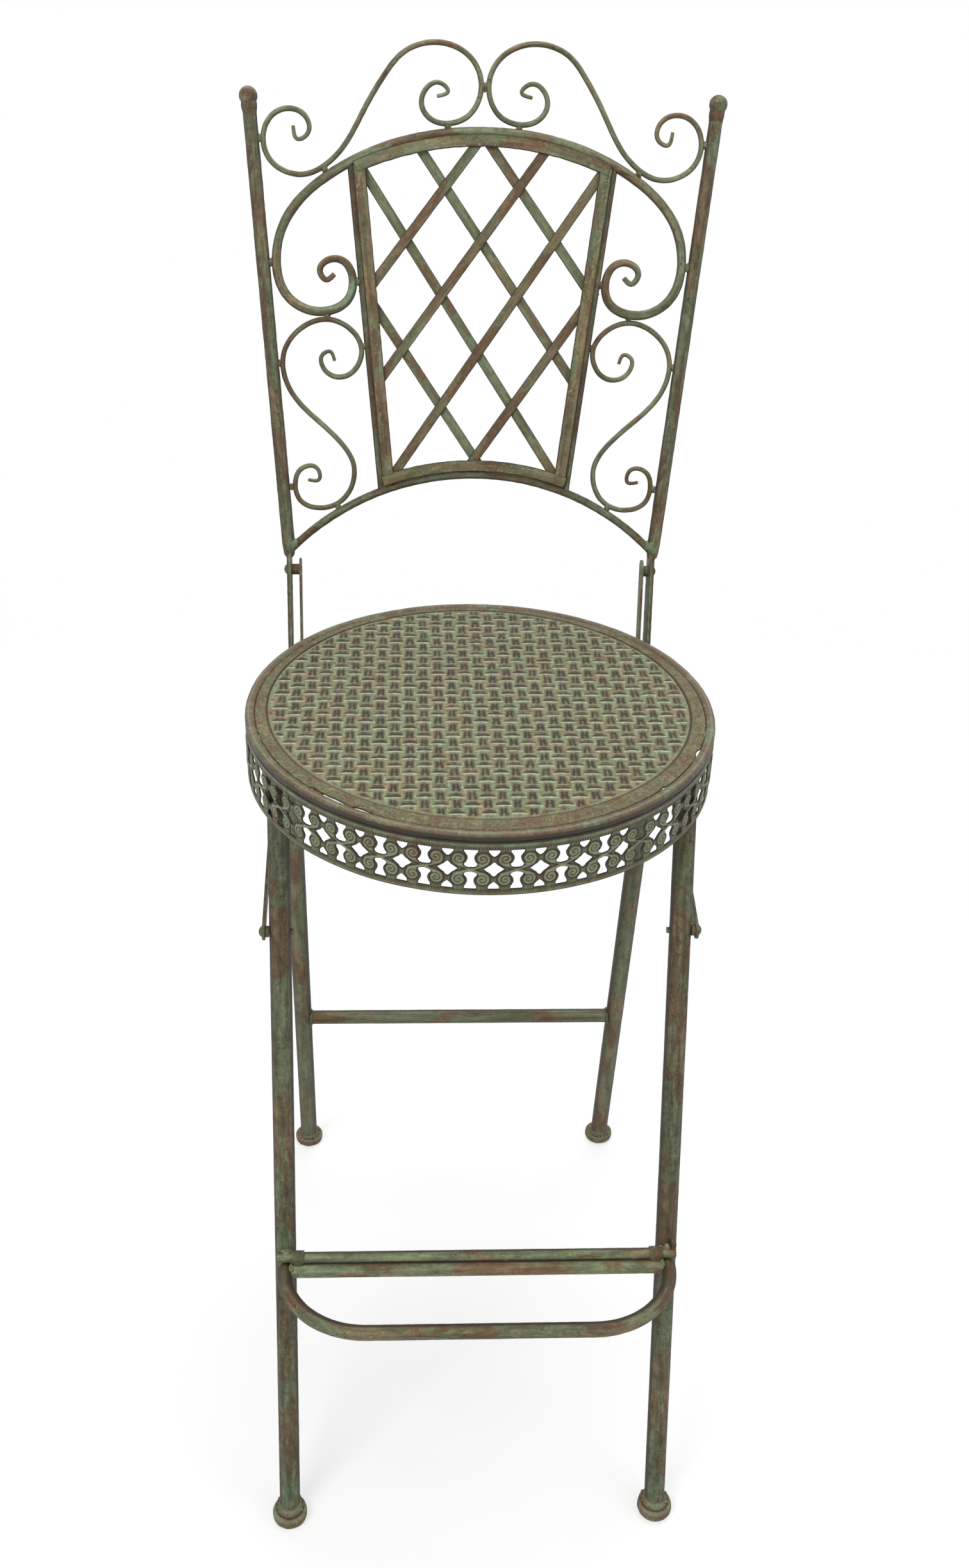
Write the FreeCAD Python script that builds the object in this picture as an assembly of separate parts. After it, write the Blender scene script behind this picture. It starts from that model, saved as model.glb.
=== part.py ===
import FreeCAD, Part
import math
import os

from FreeCAD import Placement, Rotation, Vector

# Folding bar-height garden chair of forged steel. Millimetres, +Z up, the sitter faces -Y.
# The chair is drawn with the seat centre on the Z axis and is moved at the end onto the middle of
# its bounding box.

# Legs, floor to seat
leg_diameter = 20.0
tube_wall = 1.5
leg_cap = 2.0
front_leg_x = 182.2
front_leg_foot_y = -313.1
front_leg_lean = 0.3277
rear_leg_x = 184.85
rear_leg_foot_y = 217.4
rear_leg_lean = -0.1464
rear_leg_top_z = 665.0
foot_height = 12.0
front_foot_radius = 17.2
rear_foot_radius = 16.8
foot_edge_radius = 4.0
foot_weld_height = 5.0
foot_weld_radius = 14.0
crossbar_diameter = 16.0
crossbar_z = 227.5

# Back, drawn flat as (x, s, n): s up along the back, n towards the sitter. The two halves match,
# and the whole back leans a little towards +x: every x grows with its height s.
back_tilt = 0.2436
back_y = 169.5
back_z = 800.0
back_lean = 0.0125
back_lean_s = 200.0
flat_bar_left_x = -181.4
flat_bar_right_x = 175.7
flat_bar_thickness = 4.2
flat_bar_width = 25.0
flat_bar_bottom_s = -232.0
flat_bar_top_s = 26.0
upright_diameter = 12.6
upright_x = 177.2
upright_splay = 0.0835
upright_top_s = 426.0
upright_root = 0.03
finial_collar_diameter = 14.4
finial_collar_top_s = 429.0
finial_diameter = 17.3
finial_s = 436.0

# Scroll ironwork of the back
arc_tolerance = 0.15
arch_diameter = 8.5
scroll_diameter = 5.0
lower_arch_diameter = 7.5
lower_arch_radius = 251.0
lower_arch_centre_s = -150.3
lower_arch_end_x = 178.0
lower_arch_overrun = 3.0
lower_arch_lean_s = 80.0
arch_half = [
    (-137.0, 283.0), (-143.0, 279.1), (-149.1, 287.1), (-142.8, 296.1), (-127.3, 295.8),
    (-118.4, 277.0), (-124.1, 260.4), (-140.8, 251.6), (-160.6, 252.3), (-180.8, 266.0),
    (-189.5, 296.0), (-181.0, 330.7), (-163.4, 353.3), (-140.0, 371.4), (-100.0, 391.8),
    (-60.0, 403.6), (0.0, 409.4),
]
side_scroll = [
    (-135.8, 207.9), (-139.6, 214.6), (-147.0, 211.3), (-146.5, 200.7), (-139.7, 193.5),
    (-124.5, 192.4), (-112.7, 203.4), (-110.2, 219.0), (-122.3, 236.5), (-142.8, 243.8),
    (-167.6, 234.9), (-183.1, 213.1), (-181.3, 187.5), (-169.5, 168.0), (-149.5, 149.3),
    (-129.6, 130.6), (-117.2, 110.9), (-117.7, 91.0), (-129.4, 74.0), (-148.3, 67.7),
    (-167.7, 74.3), (-173.0, 92.0), (-166.5, 105.5), (-151.8, 105.5), (-150.4, 94.7),
    (-158.7, 94.3),
]
crest_scroll = [
    (-41.5, 439.0), (-33.4, 442.8), (-39.9, 449.6), (-52.1, 446.1), (-57.1, 431.1),
    (-48.7, 419.5), (-31.7, 416.0), (-13.4, 423.6), (-4.1, 440.7), (-4.0, 453.3),
    (-11.9, 469.3), (-30.5, 481.0), (-53.7, 482.6), (-75.6, 473.5), (-90.0, 457.2),
    (-109.3, 426.3), (-128.1, 394.6), (-142.3, 380.5), (-161.8, 371.1), (-179.3, 372.6),
    (-195.4, 383.9), (-200.5, 403.0), (-191.9, 420.7), (-174.9, 426.2), (-160.8, 417.9),
    (-160.8, 404.7), (-169.8, 400.8), (-173.2, 410.0),
]
# Weld beads of each bar on one side: x, s and bead radius. A bead is an eight-sided lump.
bead_sides = 8
bead_depth = 0.8
arch_beads = [(-195.3, 294.0, 4.5), (-113.6, 278.0, 4.5)]
crest_beads = [(-144.5, 375.0, 4.2), (-204.0, 401.0, 4.2), (-32.5, 412.8, 4.2), (0.0, 447.0, 4.0)]
side_beads = [
    (-142.5, 247.2, 4.2), (-107.6, 220.0, 3.8), (-186.6, 203.0, 4.0), (-176.9, 88.0, 3.8),
    (-131.5, 70.5, 4.2),
]

# Lattice panel
side_bar_width = 6.0
lattice_thickness = 2.6
strip_thickness = 3.0
strap_width = 9.0
panel_top_x = 124.2
panel_top_s = 380.0
panel_bottom_x = 93.3
panel_bottom_s = 90.0
side_strip_width = 11.5
side_strip_top_x = 107.7
side_strip_top_s = 378.0
side_strip_bottom_x = 78.7
side_strip_bottom_s = 106.0
panel_end_allowance = 14.0
panel_arch_radius = 300.0
top_strip_drop = 13.0
top_strip_gap = 2.0
bottom_strip_rise = 3.5
bottom_strip_width = 11.0
strap_runs = [
    ((-96.7, 280.0), (-6.7, 398.0)),
    ((-87.0, 196.0), (57.5, 394.0)),
    ((-73.8, 107.0), (107.8, 372.0)),
    ((-0.5, 116.0), (101.0, 260.0)),
]
strap_overrun = 20.0

# Seat, drawn level and then raised at the rear about the front of the ring
seat_rise = 0.55
ring_outer_radius = 215.0
ring_inner_radius = 206.0
ring_top_z = 747.3
ring_bottom_z = 740.3
ring_edge_radius = 1.5
plate_radius = 204.0
plate_top_z = 746.8
plate_thickness = 2.0
tab_count = 8
tab_width = 10.0
tab_reach = 14.0
tab_thickness = 3.0
tab_bite = 1.0
apron_outer_radius = 215.7
apron_inner_radius = 213.0
apron_bottom_z = 687.4
apron_units = 35
apron_turn = 3.07
cross_rail_y = 62.0
cross_rail_width = 20.0
cross_rail_gap = 2.0

# Pierced pattern of one apron unit, heights in z and half widths along the wall
hourglass_upper = [(5.4, 729.9), (2.7, 724.3), (5.0, 716.6), (0.0, 714.0)]
hourglass_lower = [(0.0, 710.6), (5.0, 708.6), (2.6, 701.5), (5.2, 693.4)]
diamond = [(0.0, 718.3), (7.5, 711.5), (0.0, 705.0)]
half_diamond_upper = [(4.8, 729.9), (0.0, 724.0)]
half_diamond_lower = [(0.0, 700.2), (5.0, 693.8)]

# Seat hangers and their rivets
hanger_left_x = -170.6
hanger_right_x = 167.0
hanger_thickness = 2.2
hanger_width = 16.0
hanger_overrun = 3.0
hanger_pivot_y = 171.3
hanger_pivot_z = 807.3
hanger_bend_y = 152.8
hanger_bend_z = 730.3
rail_height = 20.0
rail_front_y = -130.0
front_pivot_z = 715.0
lug_radius = 11.0
rivet_diameter = 6.0
rivet_head_diameter = 10.5
rivet_head_height = 3.4
running_clearance = 0.05
side_gap = 0.3
leg_above_pivot = 9.0

# Stay straps
stay_x = 197.1
stay_thickness = 2.6
stay_width = 16.0
stay_front_z = 582.3
stay_rear_y = 123.7
stay_rear_z = 645.0
nub_height = 2.5
nub_diameter = 5.6

# Hinged footrest
rod_diameter = 10.0
rod_half_length = 189.0
rod_y = -235.6
rod_z = 284.0
rod_weld_radius = 5.9
rod_weld_behind = 3.0
rod_weld_above = 2.0
rod_lug_thickness = 4.0
rod_lug_depth = 8.0
rod_lug_height = 12.0
rod_lug_forward = 1.0
loop_diameter = 14.0
loop_rear_y = -241.9
loop_z = 273.2
loop_front_y = -315.8
loop_corner_radius = 72.0
eye_x = 170.0
eye_width = 12.0
eye_diameter = 13.0
eye_neck = 7.0
eye_neck_forward = 1.0

footprint_front_y = front_leg_foot_y - front_foot_radius
crest_top_s = 483.2
rear_most_y = back_y + math.sin(back_tilt) * crest_top_s + scroll_diameter / 2
origin_x = back_lean * (finial_s - back_lean_s)
origin_y = (footprint_front_y + rear_most_y) / 2

leg_radius = leg_diameter / 2
tall = 1000.0
back_plane = Placement(
    Vector(0, back_y, back_z),
    Rotation(Vector(1, 0, 0), 90.0 - math.degrees(back_tilt)),
)
seat_set = Placement(
    Vector(0, 0, 0), Rotation(Vector(1, 0, 0), seat_rise),
    Vector(0, -ring_outer_radius, ring_bottom_z),
)


def front_leg_point(z):
    return Vector(front_leg_x, front_leg_foot_y + front_leg_lean * z, z)


def rear_leg_point(z):
    return Vector(rear_leg_x, rear_leg_foot_y + rear_leg_lean * z, z)


def rod_between(start, end, radius):
    run = end - start
    return Part.makeCylinder(radius, run.Length, start, run)


def x_rod(x0, x1, y, z, radius):
    return Part.makeCylinder(radius, x1 - x0, Vector(x0, y, z), Vector(1, 0, 0))


def mirrored(shape):
    return shape.mirror(Vector(0, 0, 0), Vector(1, 0, 0))


def pair(shape):
    return Part.makeCompound([mirrored(shape), shape])


def on_back(shape):
    placed = shape.copy()
    placed.Placement = back_plane.multiply(placed.Placement)
    return placed


def on_seat(shape):
    placed = shape.copy()
    placed.Placement = seat_set.multiply(placed.Placement)
    return placed


def lean(s):
    return back_lean * (s - back_lean_s)


def leaned(spots):
    return [(spot[0] + lean(spot[1]),) + spot[1:] for spot in spots]


def single(shape):
    solids = shape.Solids
    solids.sort(key=lambda solid: solid.Volume)
    return solids[-1]


def smooth_curve(points):
    curve = Part.BSplineCurve()
    curve.interpolate([Vector(x, s, 0) for x, s in points])
    return curve


def swept_bar(curve, radius):
    start = curve.value(curve.FirstParameter)
    heading = curve.tangent(curve.FirstParameter)[0]
    ring = Part.Wire(Part.makeCircle(radius, start, heading))
    path = Part.Wire([arc.toShape() for arc in curve.toBiArcs(arc_tolerance)])
    bar = path.makePipeShell([ring], True, True)
    end = curve.value(curve.LastParameter)
    domes = [Part.makeSphere(radius, start), Part.makeSphere(radius, end)]
    return bar.fuse(domes)


def flat_plate(corners, low, high):
    points = [Vector(x, s, low) for x, s in corners]
    face = Part.Face(Part.makePolygon(points + points[:1]))
    return face.extrude(Vector(0, 0, high - low))


def flipped(spots):
    return [(-spot[0],) + spot[1:] for spot in spots]


def weld_bead(x, s, radius):
    corners = []
    for i in range(bead_sides):
        angle = (i + 0.5) * 2 * math.pi / bead_sides
        corners.append((x + radius * math.cos(angle), s + radius * math.sin(angle)))
    return on_back(flat_plate(corners, -bead_depth * radius, bead_depth * radius))


def beaded(bar, spots, neighbours):
    beads = []
    for x, s, radius in spots:
        bead = weld_bead(x, s, radius)
        for neighbour in neighbours:
            if bead.common(neighbour).Volume > 0:
                bead = single(bead.cut(neighbour))
        beads.append(bead)
    return single(bar.fuse(beads))


def arc_band(centre, inner, outer, half_width, low, high):
    base = Vector(centre.x, centre.y, low)
    outer_disc = Part.makeCylinder(outer, high - low, base)
    inner_disc = Part.makeCylinder(inner, high - low, base)
    span = Part.makeBox(2 * half_width, outer, high - low, base - Vector(half_width, 0, 0))
    return outer_disc.cut(inner_disc).common(span)


def tube_between(start, end, radius, wall, cap):
    run = end - start
    outer = rod_between(start, end, radius)
    inner_end = end - Vector(run).normalize() * cap
    return outer.cut(rod_between(start, inner_end, radius - wall))


def dome(x, y, z, diameter, height, side):
    radius = diameter / 2
    ball_radius = (radius * radius + height * height) / (2 * height)
    ball = Part.makeSphere(ball_radius, Vector(x - side * (ball_radius - height), y, z))
    keep = Part.makeBox(height, diameter, diameter)
    low_x = x if side > 0 else x - height
    keep.translate(Vector(low_x, y - radius, z - radius))
    return ball.common(keep)


# Rear frame: legs, feet, crossbar
rear_axis_low = rear_leg_point(0.0)
rear_axis_high = rear_leg_point(rear_leg_top_z)
rear_leg = tube_between(rear_axis_low, rear_axis_high, leg_radius, tube_wall, leg_cap)
rear_leg = rear_leg.cut(Part.makeBox(tall, tall, tall, Vector(0, 0, foot_height - tall)))
rear_leg_solid = rod_between(rear_axis_low, rear_axis_high, leg_radius)


def foot(axis_point, axis_up, radius, leg_solid):
    disc = Part.makeCylinder(radius, foot_height, Vector(axis_point.x, axis_point.y, 0))
    rounded = disc.makeFillet(foot_edge_radius, [disc.Edges[2]])
    if rounded.BoundBox.ZLength < foot_height - 0.1:
        rounded = disc
    collar = Part.makeCone(
        foot_weld_radius, leg_radius, foot_weld_height,
        Vector(axis_up.x, axis_up.y, foot_height),
    )
    return rounded.fuse(collar.cut(leg_solid))


rear_foot = foot(rear_axis_low, rear_leg_point(foot_height), rear_foot_radius, rear_leg_solid)
crossbar_y = rear_leg_point(crossbar_z).y
crossbar_outer = x_rod(-rear_leg_x, rear_leg_x, crossbar_y, crossbar_z, crossbar_diameter / 2)
crossbar_bore = x_rod(
    -rear_leg_x, rear_leg_x, crossbar_y, crossbar_z, crossbar_diameter / 2 - tube_wall
)
rear_crossbar = crossbar_outer.cut([crossbar_bore, rear_leg_solid, mirrored(rear_leg_solid)])


# Back: flat bars and uprights
def flat_bar(x):
    bar = Part.makeBox(flat_bar_thickness, flat_bar_top_s - flat_bar_bottom_s, flat_bar_width)
    bar.translate(Vector(x - flat_bar_thickness / 2, flat_bar_bottom_s, -flat_bar_width / 2))
    return on_back(bar)


def upright_point(side, s):
    return Vector(side * (upright_x + upright_splay * s) + lean(s), s, 0)


def upright_bar(side):
    low = upright_point(side, flat_bar_top_s)
    high = upright_point(side, upright_top_s)
    bar = rod_between(low - (high - low) * upright_root, high, upright_diameter / 2)
    below = Part.makeBox(2 * tall, tall, tall, Vector(-tall, flat_bar_top_s - tall, -tall / 2))
    return on_back(bar.cut(below))


def finial(side):
    collar = rod_between(
        upright_point(side, upright_top_s), upright_point(side, finial_collar_top_s),
        finial_collar_diameter / 2,
    )
    ball = Part.makeSphere(finial_diameter / 2, upright_point(side, finial_s))
    below = Part.makeBox(2 * tall, tall, tall, Vector(-tall, upright_top_s - tall, -tall / 2))
    return on_back(ball.cut(below).fuse(collar))


bar_left = flat_bar(flat_bar_left_x)
bar_right = flat_bar(flat_bar_right_x)
upright_left = upright_bar(-1)
upright_right = upright_bar(1)
uprights = [upright_left, upright_right]

# Back: arches and scrolls
arch_points = leaned(arch_half + flipped(reversed(arch_half[:-1])))
arch_sweep = on_back(swept_bar(smooth_curve(arch_points), arch_diameter / 2))
main_arch = beaded(arch_sweep, leaned(arch_beads + flipped(arch_beads)), uprights)
lower_arch_centre = Vector(lean(lower_arch_lean_s), lower_arch_centre_s, 0)
lower_arch_half_angle = math.degrees(
    math.asin((lower_arch_end_x + lower_arch_overrun) / lower_arch_radius)
)
lower_arch_curve = Part.makeCircle(
    lower_arch_radius, lower_arch_centre, Vector(0, 0, 1),
    90.0 - lower_arch_half_angle, 90.0 + lower_arch_half_angle,
)
lower_arch_start = lower_arch_curve.valueAt(lower_arch_curve.FirstParameter)
lower_arch_heading = lower_arch_curve.tangentAt(lower_arch_curve.FirstParameter)
lower_arch_ring = Part.Wire(
    Part.makeCircle(lower_arch_diameter / 2, lower_arch_start, lower_arch_heading)
)
lower_arch = Part.Wire(lower_arch_curve).makePipeShell([lower_arch_ring], True, True)
lower_arch = single(on_back(lower_arch).cut(uprights + [bar_left, bar_right]))
crest_middle_x = lean(crest_beads[-1][1])
right_half = Part.makeBox(tall, 2 * tall, 2 * tall, Vector(crest_middle_x, -tall, -tall / 2))
left_half = Part.makeBox(tall, 2 * tall, 2 * tall, Vector(crest_middle_x - tall, -tall, -tall / 2))


def crest_bar(points, beads, other_half):
    scroll = on_back(swept_bar(smooth_curve(points), scroll_diameter / 2))
    scroll = single(scroll.cut(main_arch))
    return beaded(scroll, beads, uprights + [main_arch, other_half])


crest_left = crest_bar(leaned(crest_scroll), leaned(crest_beads), right_half)
crest_right = crest_bar(leaned(flipped(crest_scroll)), leaned(flipped(crest_beads)), left_half)

# Back: lattice panel
edge_slope = (panel_top_x - panel_bottom_x) / (panel_top_s - panel_bottom_s)
edge_angle = math.atan(edge_slope)
strip_slope = (side_strip_top_x - side_strip_bottom_x) / (side_strip_top_s - side_strip_bottom_s)


def edge_x(s):
    return panel_bottom_x + edge_slope * (s - panel_bottom_s)


def strip_edge_x(s):
    return side_strip_bottom_x + strip_slope * (s - side_strip_bottom_s)


low_s = panel_bottom_s - panel_end_allowance
high_s = panel_top_s + panel_end_allowance
bar_step = side_bar_width / math.cos(edge_angle)
strip_step = side_strip_width / math.cos(edge_angle)
side_bar_corners = [
    (-edge_x(low_s), low_s), (-edge_x(high_s), high_s),
    (bar_step - edge_x(high_s), high_s), (bar_step - edge_x(low_s), low_s),
]


def side_bar(corners):
    bar = on_back(flat_plate(leaned(corners), -lattice_thickness, lattice_thickness))
    return single(bar.cut([main_arch, lower_arch]))


side_bars = [side_bar(side_bar_corners), side_bar(flipped(side_bar_corners))]
strip_low = lattice_thickness
strip_high = lattice_thickness + strip_thickness
panel_arch_s = arch_half[-1][1] - panel_arch_radius
top_strip = arc_band(
    Vector(lean(panel_top_s), panel_arch_s, 0),
    panel_arch_radius - top_strip_drop, panel_arch_radius - top_strip_gap,
    panel_top_x - side_bar_width, strip_low, strip_high,
)
top_strip = single(on_back(top_strip).cut(main_arch))
bottom_strip_inner = lower_arch_radius + bottom_strip_rise
bottom_strip_half = strip_edge_x(side_strip_bottom_s) + strip_step
bottom_strip = arc_band(
    lower_arch_centre, bottom_strip_inner, bottom_strip_inner + bottom_strip_width,
    bottom_strip_half, strip_low, strip_high,
)
bottom_strip = single(on_back(bottom_strip).cut(lower_arch))
side_strip_corners = [
    (-strip_edge_x(low_s), low_s), (-strip_edge_x(high_s), high_s),
    (-strip_edge_x(high_s) - strip_step, high_s), (-strip_edge_x(low_s) - strip_step, low_s),
]


def side_strip(corners):
    strip = on_back(flat_plate(leaned(corners), strip_low, strip_high))
    return single(strip.cut([main_arch, lower_arch, top_strip, bottom_strip]))


side_strips = [side_strip(side_strip_corners), side_strip(flipped(side_strip_corners))]
side_neighbours = uprights + [main_arch, lower_arch] + side_bars + side_strips


def side_scroll_bar(points, beads):
    scroll = on_back(swept_bar(smooth_curve(points), scroll_diameter / 2))
    scroll = single(scroll.cut(main_arch))
    return beaded(scroll, beads, side_neighbours)


side_left = side_scroll_bar(leaned(side_scroll), leaned(side_beads))
side_right = side_scroll_bar(leaned(flipped(side_scroll)), leaned(flipped(side_beads)))

panel_corners = leaned([
    (-edge_x(low_s), low_s), (edge_x(low_s), low_s),
    (edge_x(high_s), high_s), (0.0, high_s + 2 * panel_end_allowance),
    (-edge_x(high_s), high_s),
])
panel_frame = [main_arch, lower_arch] + side_bars


def strap(run, low, high):
    ends = [Vector(x, s, 0) for x, s in leaned(run)]
    along = (ends[1] - ends[0]).normalize()
    across = Vector(-along.y, along.x, 0) * (strap_width / 2)
    a = ends[0] - along * strap_overrun
    b = ends[1] + along * strap_overrun
    corners = [a - across, b - across, b + across, a + across]
    blank = flat_plate([(c.x, c.y) for c in corners], low, high)
    blank = blank.common(flat_plate(panel_corners, low, high))
    return single(on_back(blank).cut(panel_frame))


front_straps = [strap(run, 0.0, lattice_thickness) for run in strap_runs]
back_straps = [strap(flipped(run), -lattice_thickness, 0.0) for run in strap_runs]

# Seat: ring, plate, tabs and pierced apron
ring_profile = Part.makePolygon([
    Vector(ring_inner_radius, 0, ring_bottom_z), Vector(ring_outer_radius, 0, ring_bottom_z),
    Vector(ring_outer_radius, 0, ring_top_z), Vector(ring_inner_radius, 0, ring_top_z),
    Vector(ring_inner_radius, 0, ring_bottom_z),
])
seat_ring = Part.Face(ring_profile).revolve(Vector(0, 0, 0), Vector(0, 0, 1), 360)
top_edges = [
    edge for edge in seat_ring.Edges
    if abs(edge.BoundBox.ZMin - ring_top_z) < 0.01 and edge.BoundBox.ZLength < 0.01
]
seat_ring = seat_ring.makeFillet(ring_edge_radius, top_edges)
plate_bottom_z = plate_top_z - plate_thickness
seat_plate = Part.makeCylinder(plate_radius, plate_thickness, Vector(0, 0, plate_bottom_z))
tabs = []
for i in range(tab_count):
    tab = Part.makeBox(tab_reach, tab_width, tab_thickness)
    tab.translate(Vector(ring_inner_radius - tab_reach + tab_bite, -tab_width / 2, 0))
    tab.translate(Vector(0, 0, plate_bottom_z - tab_thickness))
    tab.rotate(Vector(0, 0, 0), Vector(0, 0, 1), i * 360.0 / tab_count)
    tabs.append(tab.cut(seat_ring))
seat_tabs = Part.makeCompound(tabs)

apron_height = ring_bottom_z - apron_bottom_z
apron = Part.makeCylinder(apron_outer_radius, apron_height, Vector(0, 0, apron_bottom_z))
apron = apron.cut(
    Part.makeCylinder(apron_inner_radius, apron_height, Vector(0, 0, apron_bottom_z))
)


def radial_hole(half_outline):
    left = [Vector(ring_inner_radius, w, z) for w, z in half_outline]
    right = [Vector(ring_inner_radius, -w, z) for w, z in reversed(half_outline) if w > 0]
    wire = Part.makePolygon(left + right + left[:1])
    return Part.Face(wire).extrude(Vector(apron_outer_radius, 0, 0))


unit_angle = 360.0 / apron_units
holes = []
for i in range(apron_units):
    for outline, phase in (
        (hourglass_upper, 0.5), (hourglass_lower, 0.5), (diamond, 0.0),
        (half_diamond_upper, 0.0), (half_diamond_lower, 0.0),
    ):
        hole = radial_hole(outline)
        hole_angle = (i + phase) * unit_angle + apron_turn
        hole.rotate(Vector(0, 0, 0), Vector(0, 0, 1), hole_angle)
        holes.append(hole)
apron = apron.cut(holes)

# Seat hangers: strap down from the back pivot, bent forward as a rail under the seat
front_pivot = front_leg_point(front_pivot_z)
hanger_eye = seat_set.inverse().multVec(Vector(0, hanger_pivot_y, hanger_pivot_z))
rail_eye = seat_set.inverse().multVec(front_pivot)
hanger_bend = Vector(0, hanger_bend_y, hanger_bend_z)
hanger_half = hanger_thickness / 2
hole_radius = rivet_diameter / 2 + running_clearance
strap_run = hanger_eye - hanger_bend
strap_angle = math.degrees(math.atan2(strap_run.z, strap_run.y))
strap_length = strap_run.Length + hanger_overrun
strap_end = hanger_bend + strap_run * (strap_length / strap_run.Length)


def hanger(x):
    inner_x = x - hanger_half
    outer_x = x + hanger_half
    drop = Part.makeBox(hanger_thickness, strap_length, hanger_width)
    drop.translate(Vector(inner_x, 0, -hanger_width / 2))
    drop.rotate(Vector(0, 0, 0), Vector(1, 0, 0), strap_angle)
    drop.translate(hanger_bend)
    rail = Part.makeBox(
        hanger_thickness, hanger_bend_y - rail_front_y, rail_height,
        Vector(inner_x, rail_front_y, ring_bottom_z - rail_height),
    )
    bend_z = ring_bottom_z - rail_height / 2
    bar = rail.fuse([
        drop,
        x_rod(inner_x, outer_x, hanger_bend_y, bend_z, rail_height / 2),
        x_rod(inner_x, outer_x, strap_end.y, strap_end.z, hanger_width / 2),
        x_rod(inner_x, outer_x, rail_eye.y, rail_eye.z, lug_radius),
    ]).removeSplitter()
    return bar.cut([
        x_rod(inner_x, outer_x, hanger_eye.y, hanger_eye.z, hole_radius),
        x_rod(inner_x, outer_x, rail_eye.y, rail_eye.z, hole_radius),
    ])


hanger_left = mirrored(hanger(-hanger_left_x))
hanger_right = hanger(hanger_right_x)
apron = single(apron.cut([hanger_left, hanger_right]))
cross_rails = []
cross_rail_reach = cross_rail_y + cross_rail_width
cross_rail_half = math.sqrt((ring_inner_radius - cross_rail_gap) ** 2 - cross_rail_reach ** 2)
for side in (-1, 1):
    cross_rails.append(Part.makeBox(
        2 * cross_rail_half, cross_rail_width, plate_bottom_z - ring_bottom_z,
        Vector(-cross_rail_half, side * cross_rail_y - cross_rail_width / 2, ring_bottom_z),
    ))
cross_rails = Part.makeCompound(cross_rails)


# Rivets of the seat hangers: head outside, shank through the flat bar, spacer, retained end
def hanger_rivet(bar_x, strap_x):
    bar_inner = bar_x - flat_bar_thickness / 2
    bar_outer = bar_x + flat_bar_thickness / 2
    retained = strap_x - hanger_half - side_gap
    spacer_start = strap_x + hanger_half + side_gap
    y = hanger_pivot_y
    z = hanger_pivot_z
    return x_rod(retained, bar_outer, y, z, rivet_diameter / 2).fuse([
        dome(bar_outer, y, z, rivet_head_diameter, rivet_head_height, 1),
        dome(retained, y, z, rivet_head_diameter, rivet_head_height, -1),
        x_rod(spacer_start, bar_inner, y, z, rivet_head_diameter / 2),
    ])


hanger_rivet_left = mirrored(hanger_rivet(-flat_bar_left_x, -hanger_left_x))
hanger_rivet_right = hanger_rivet(flat_bar_right_x, hanger_right_x)
bar_left = bar_left.cut(hanger_rivet_left)
bar_right = bar_right.cut(hanger_rivet_right)
rear_leg_left = single(mirrored(rear_leg).cut(bar_left))
rear_leg_right = single(rear_leg.cut(bar_right))

# Front frame
front_low = front_leg_point(0.0)
front_direction = (front_pivot - front_low).normalize()
front_high = front_pivot + front_direction * leg_above_pivot
front_leg = tube_between(front_low, front_high, leg_radius, tube_wall, leg_cap)
front_leg = front_leg.cut(Part.makeBox(tall, tall, tall, Vector(0, -tall / 2, foot_height - tall)))
front_leg_solid = rod_between(front_low, front_high, leg_radius)
front_foot = foot(front_low, front_leg_point(foot_height), front_foot_radius, front_leg_solid)
leg_outer_x = front_leg_x + leg_radius


def front_rivet(strap_x):
    start = strap_x - hanger_half - side_gap
    shank = x_rod(start, front_leg_x, front_pivot.y, front_pivot.z, rivet_diameter / 2)
    head = dome(start, front_pivot.y, front_pivot.z, rivet_head_diameter, rivet_head_height, -1)
    return shank.fuse(head)


front_rivet_left = mirrored(front_rivet(-hanger_left_x))
front_rivet_right = front_rivet(hanger_right_x)
front_leg = single(front_leg.cut(front_rivet_right))
stay_front = front_leg_point(stay_front_z)
nub_face_x = front_leg_x - leg_radius - nub_height
nub = x_rod(nub_face_x, front_leg_x, stay_front.y, stay_front.z, nub_diameter / 2)
nub = single(nub.cut(rod_between(front_low, front_high, leg_radius)))
rod_core = x_rod(-rod_half_length, rod_half_length, rod_y, rod_z, rod_diameter / 2)
rod_beads = pair(Part.makeSphere(
    rod_weld_radius, Vector(front_leg_x, rod_y + rod_weld_behind, rod_z + rod_weld_above),
))
footrest_rod = rod_core.fuse(rod_beads.Solids)
footrest_rod = single(footrest_rod.cut([front_leg_solid, mirrored(front_leg_solid)]))
rod_lug = Part.makeBox(
    rod_lug_thickness, rod_lug_depth, rod_lug_height,
    Vector(rod_half_length - rod_lug_thickness, rod_y - rod_lug_forward, rod_z),
)
rod_lug = single(rod_lug.cut([footrest_rod, front_leg_solid]))

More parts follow.
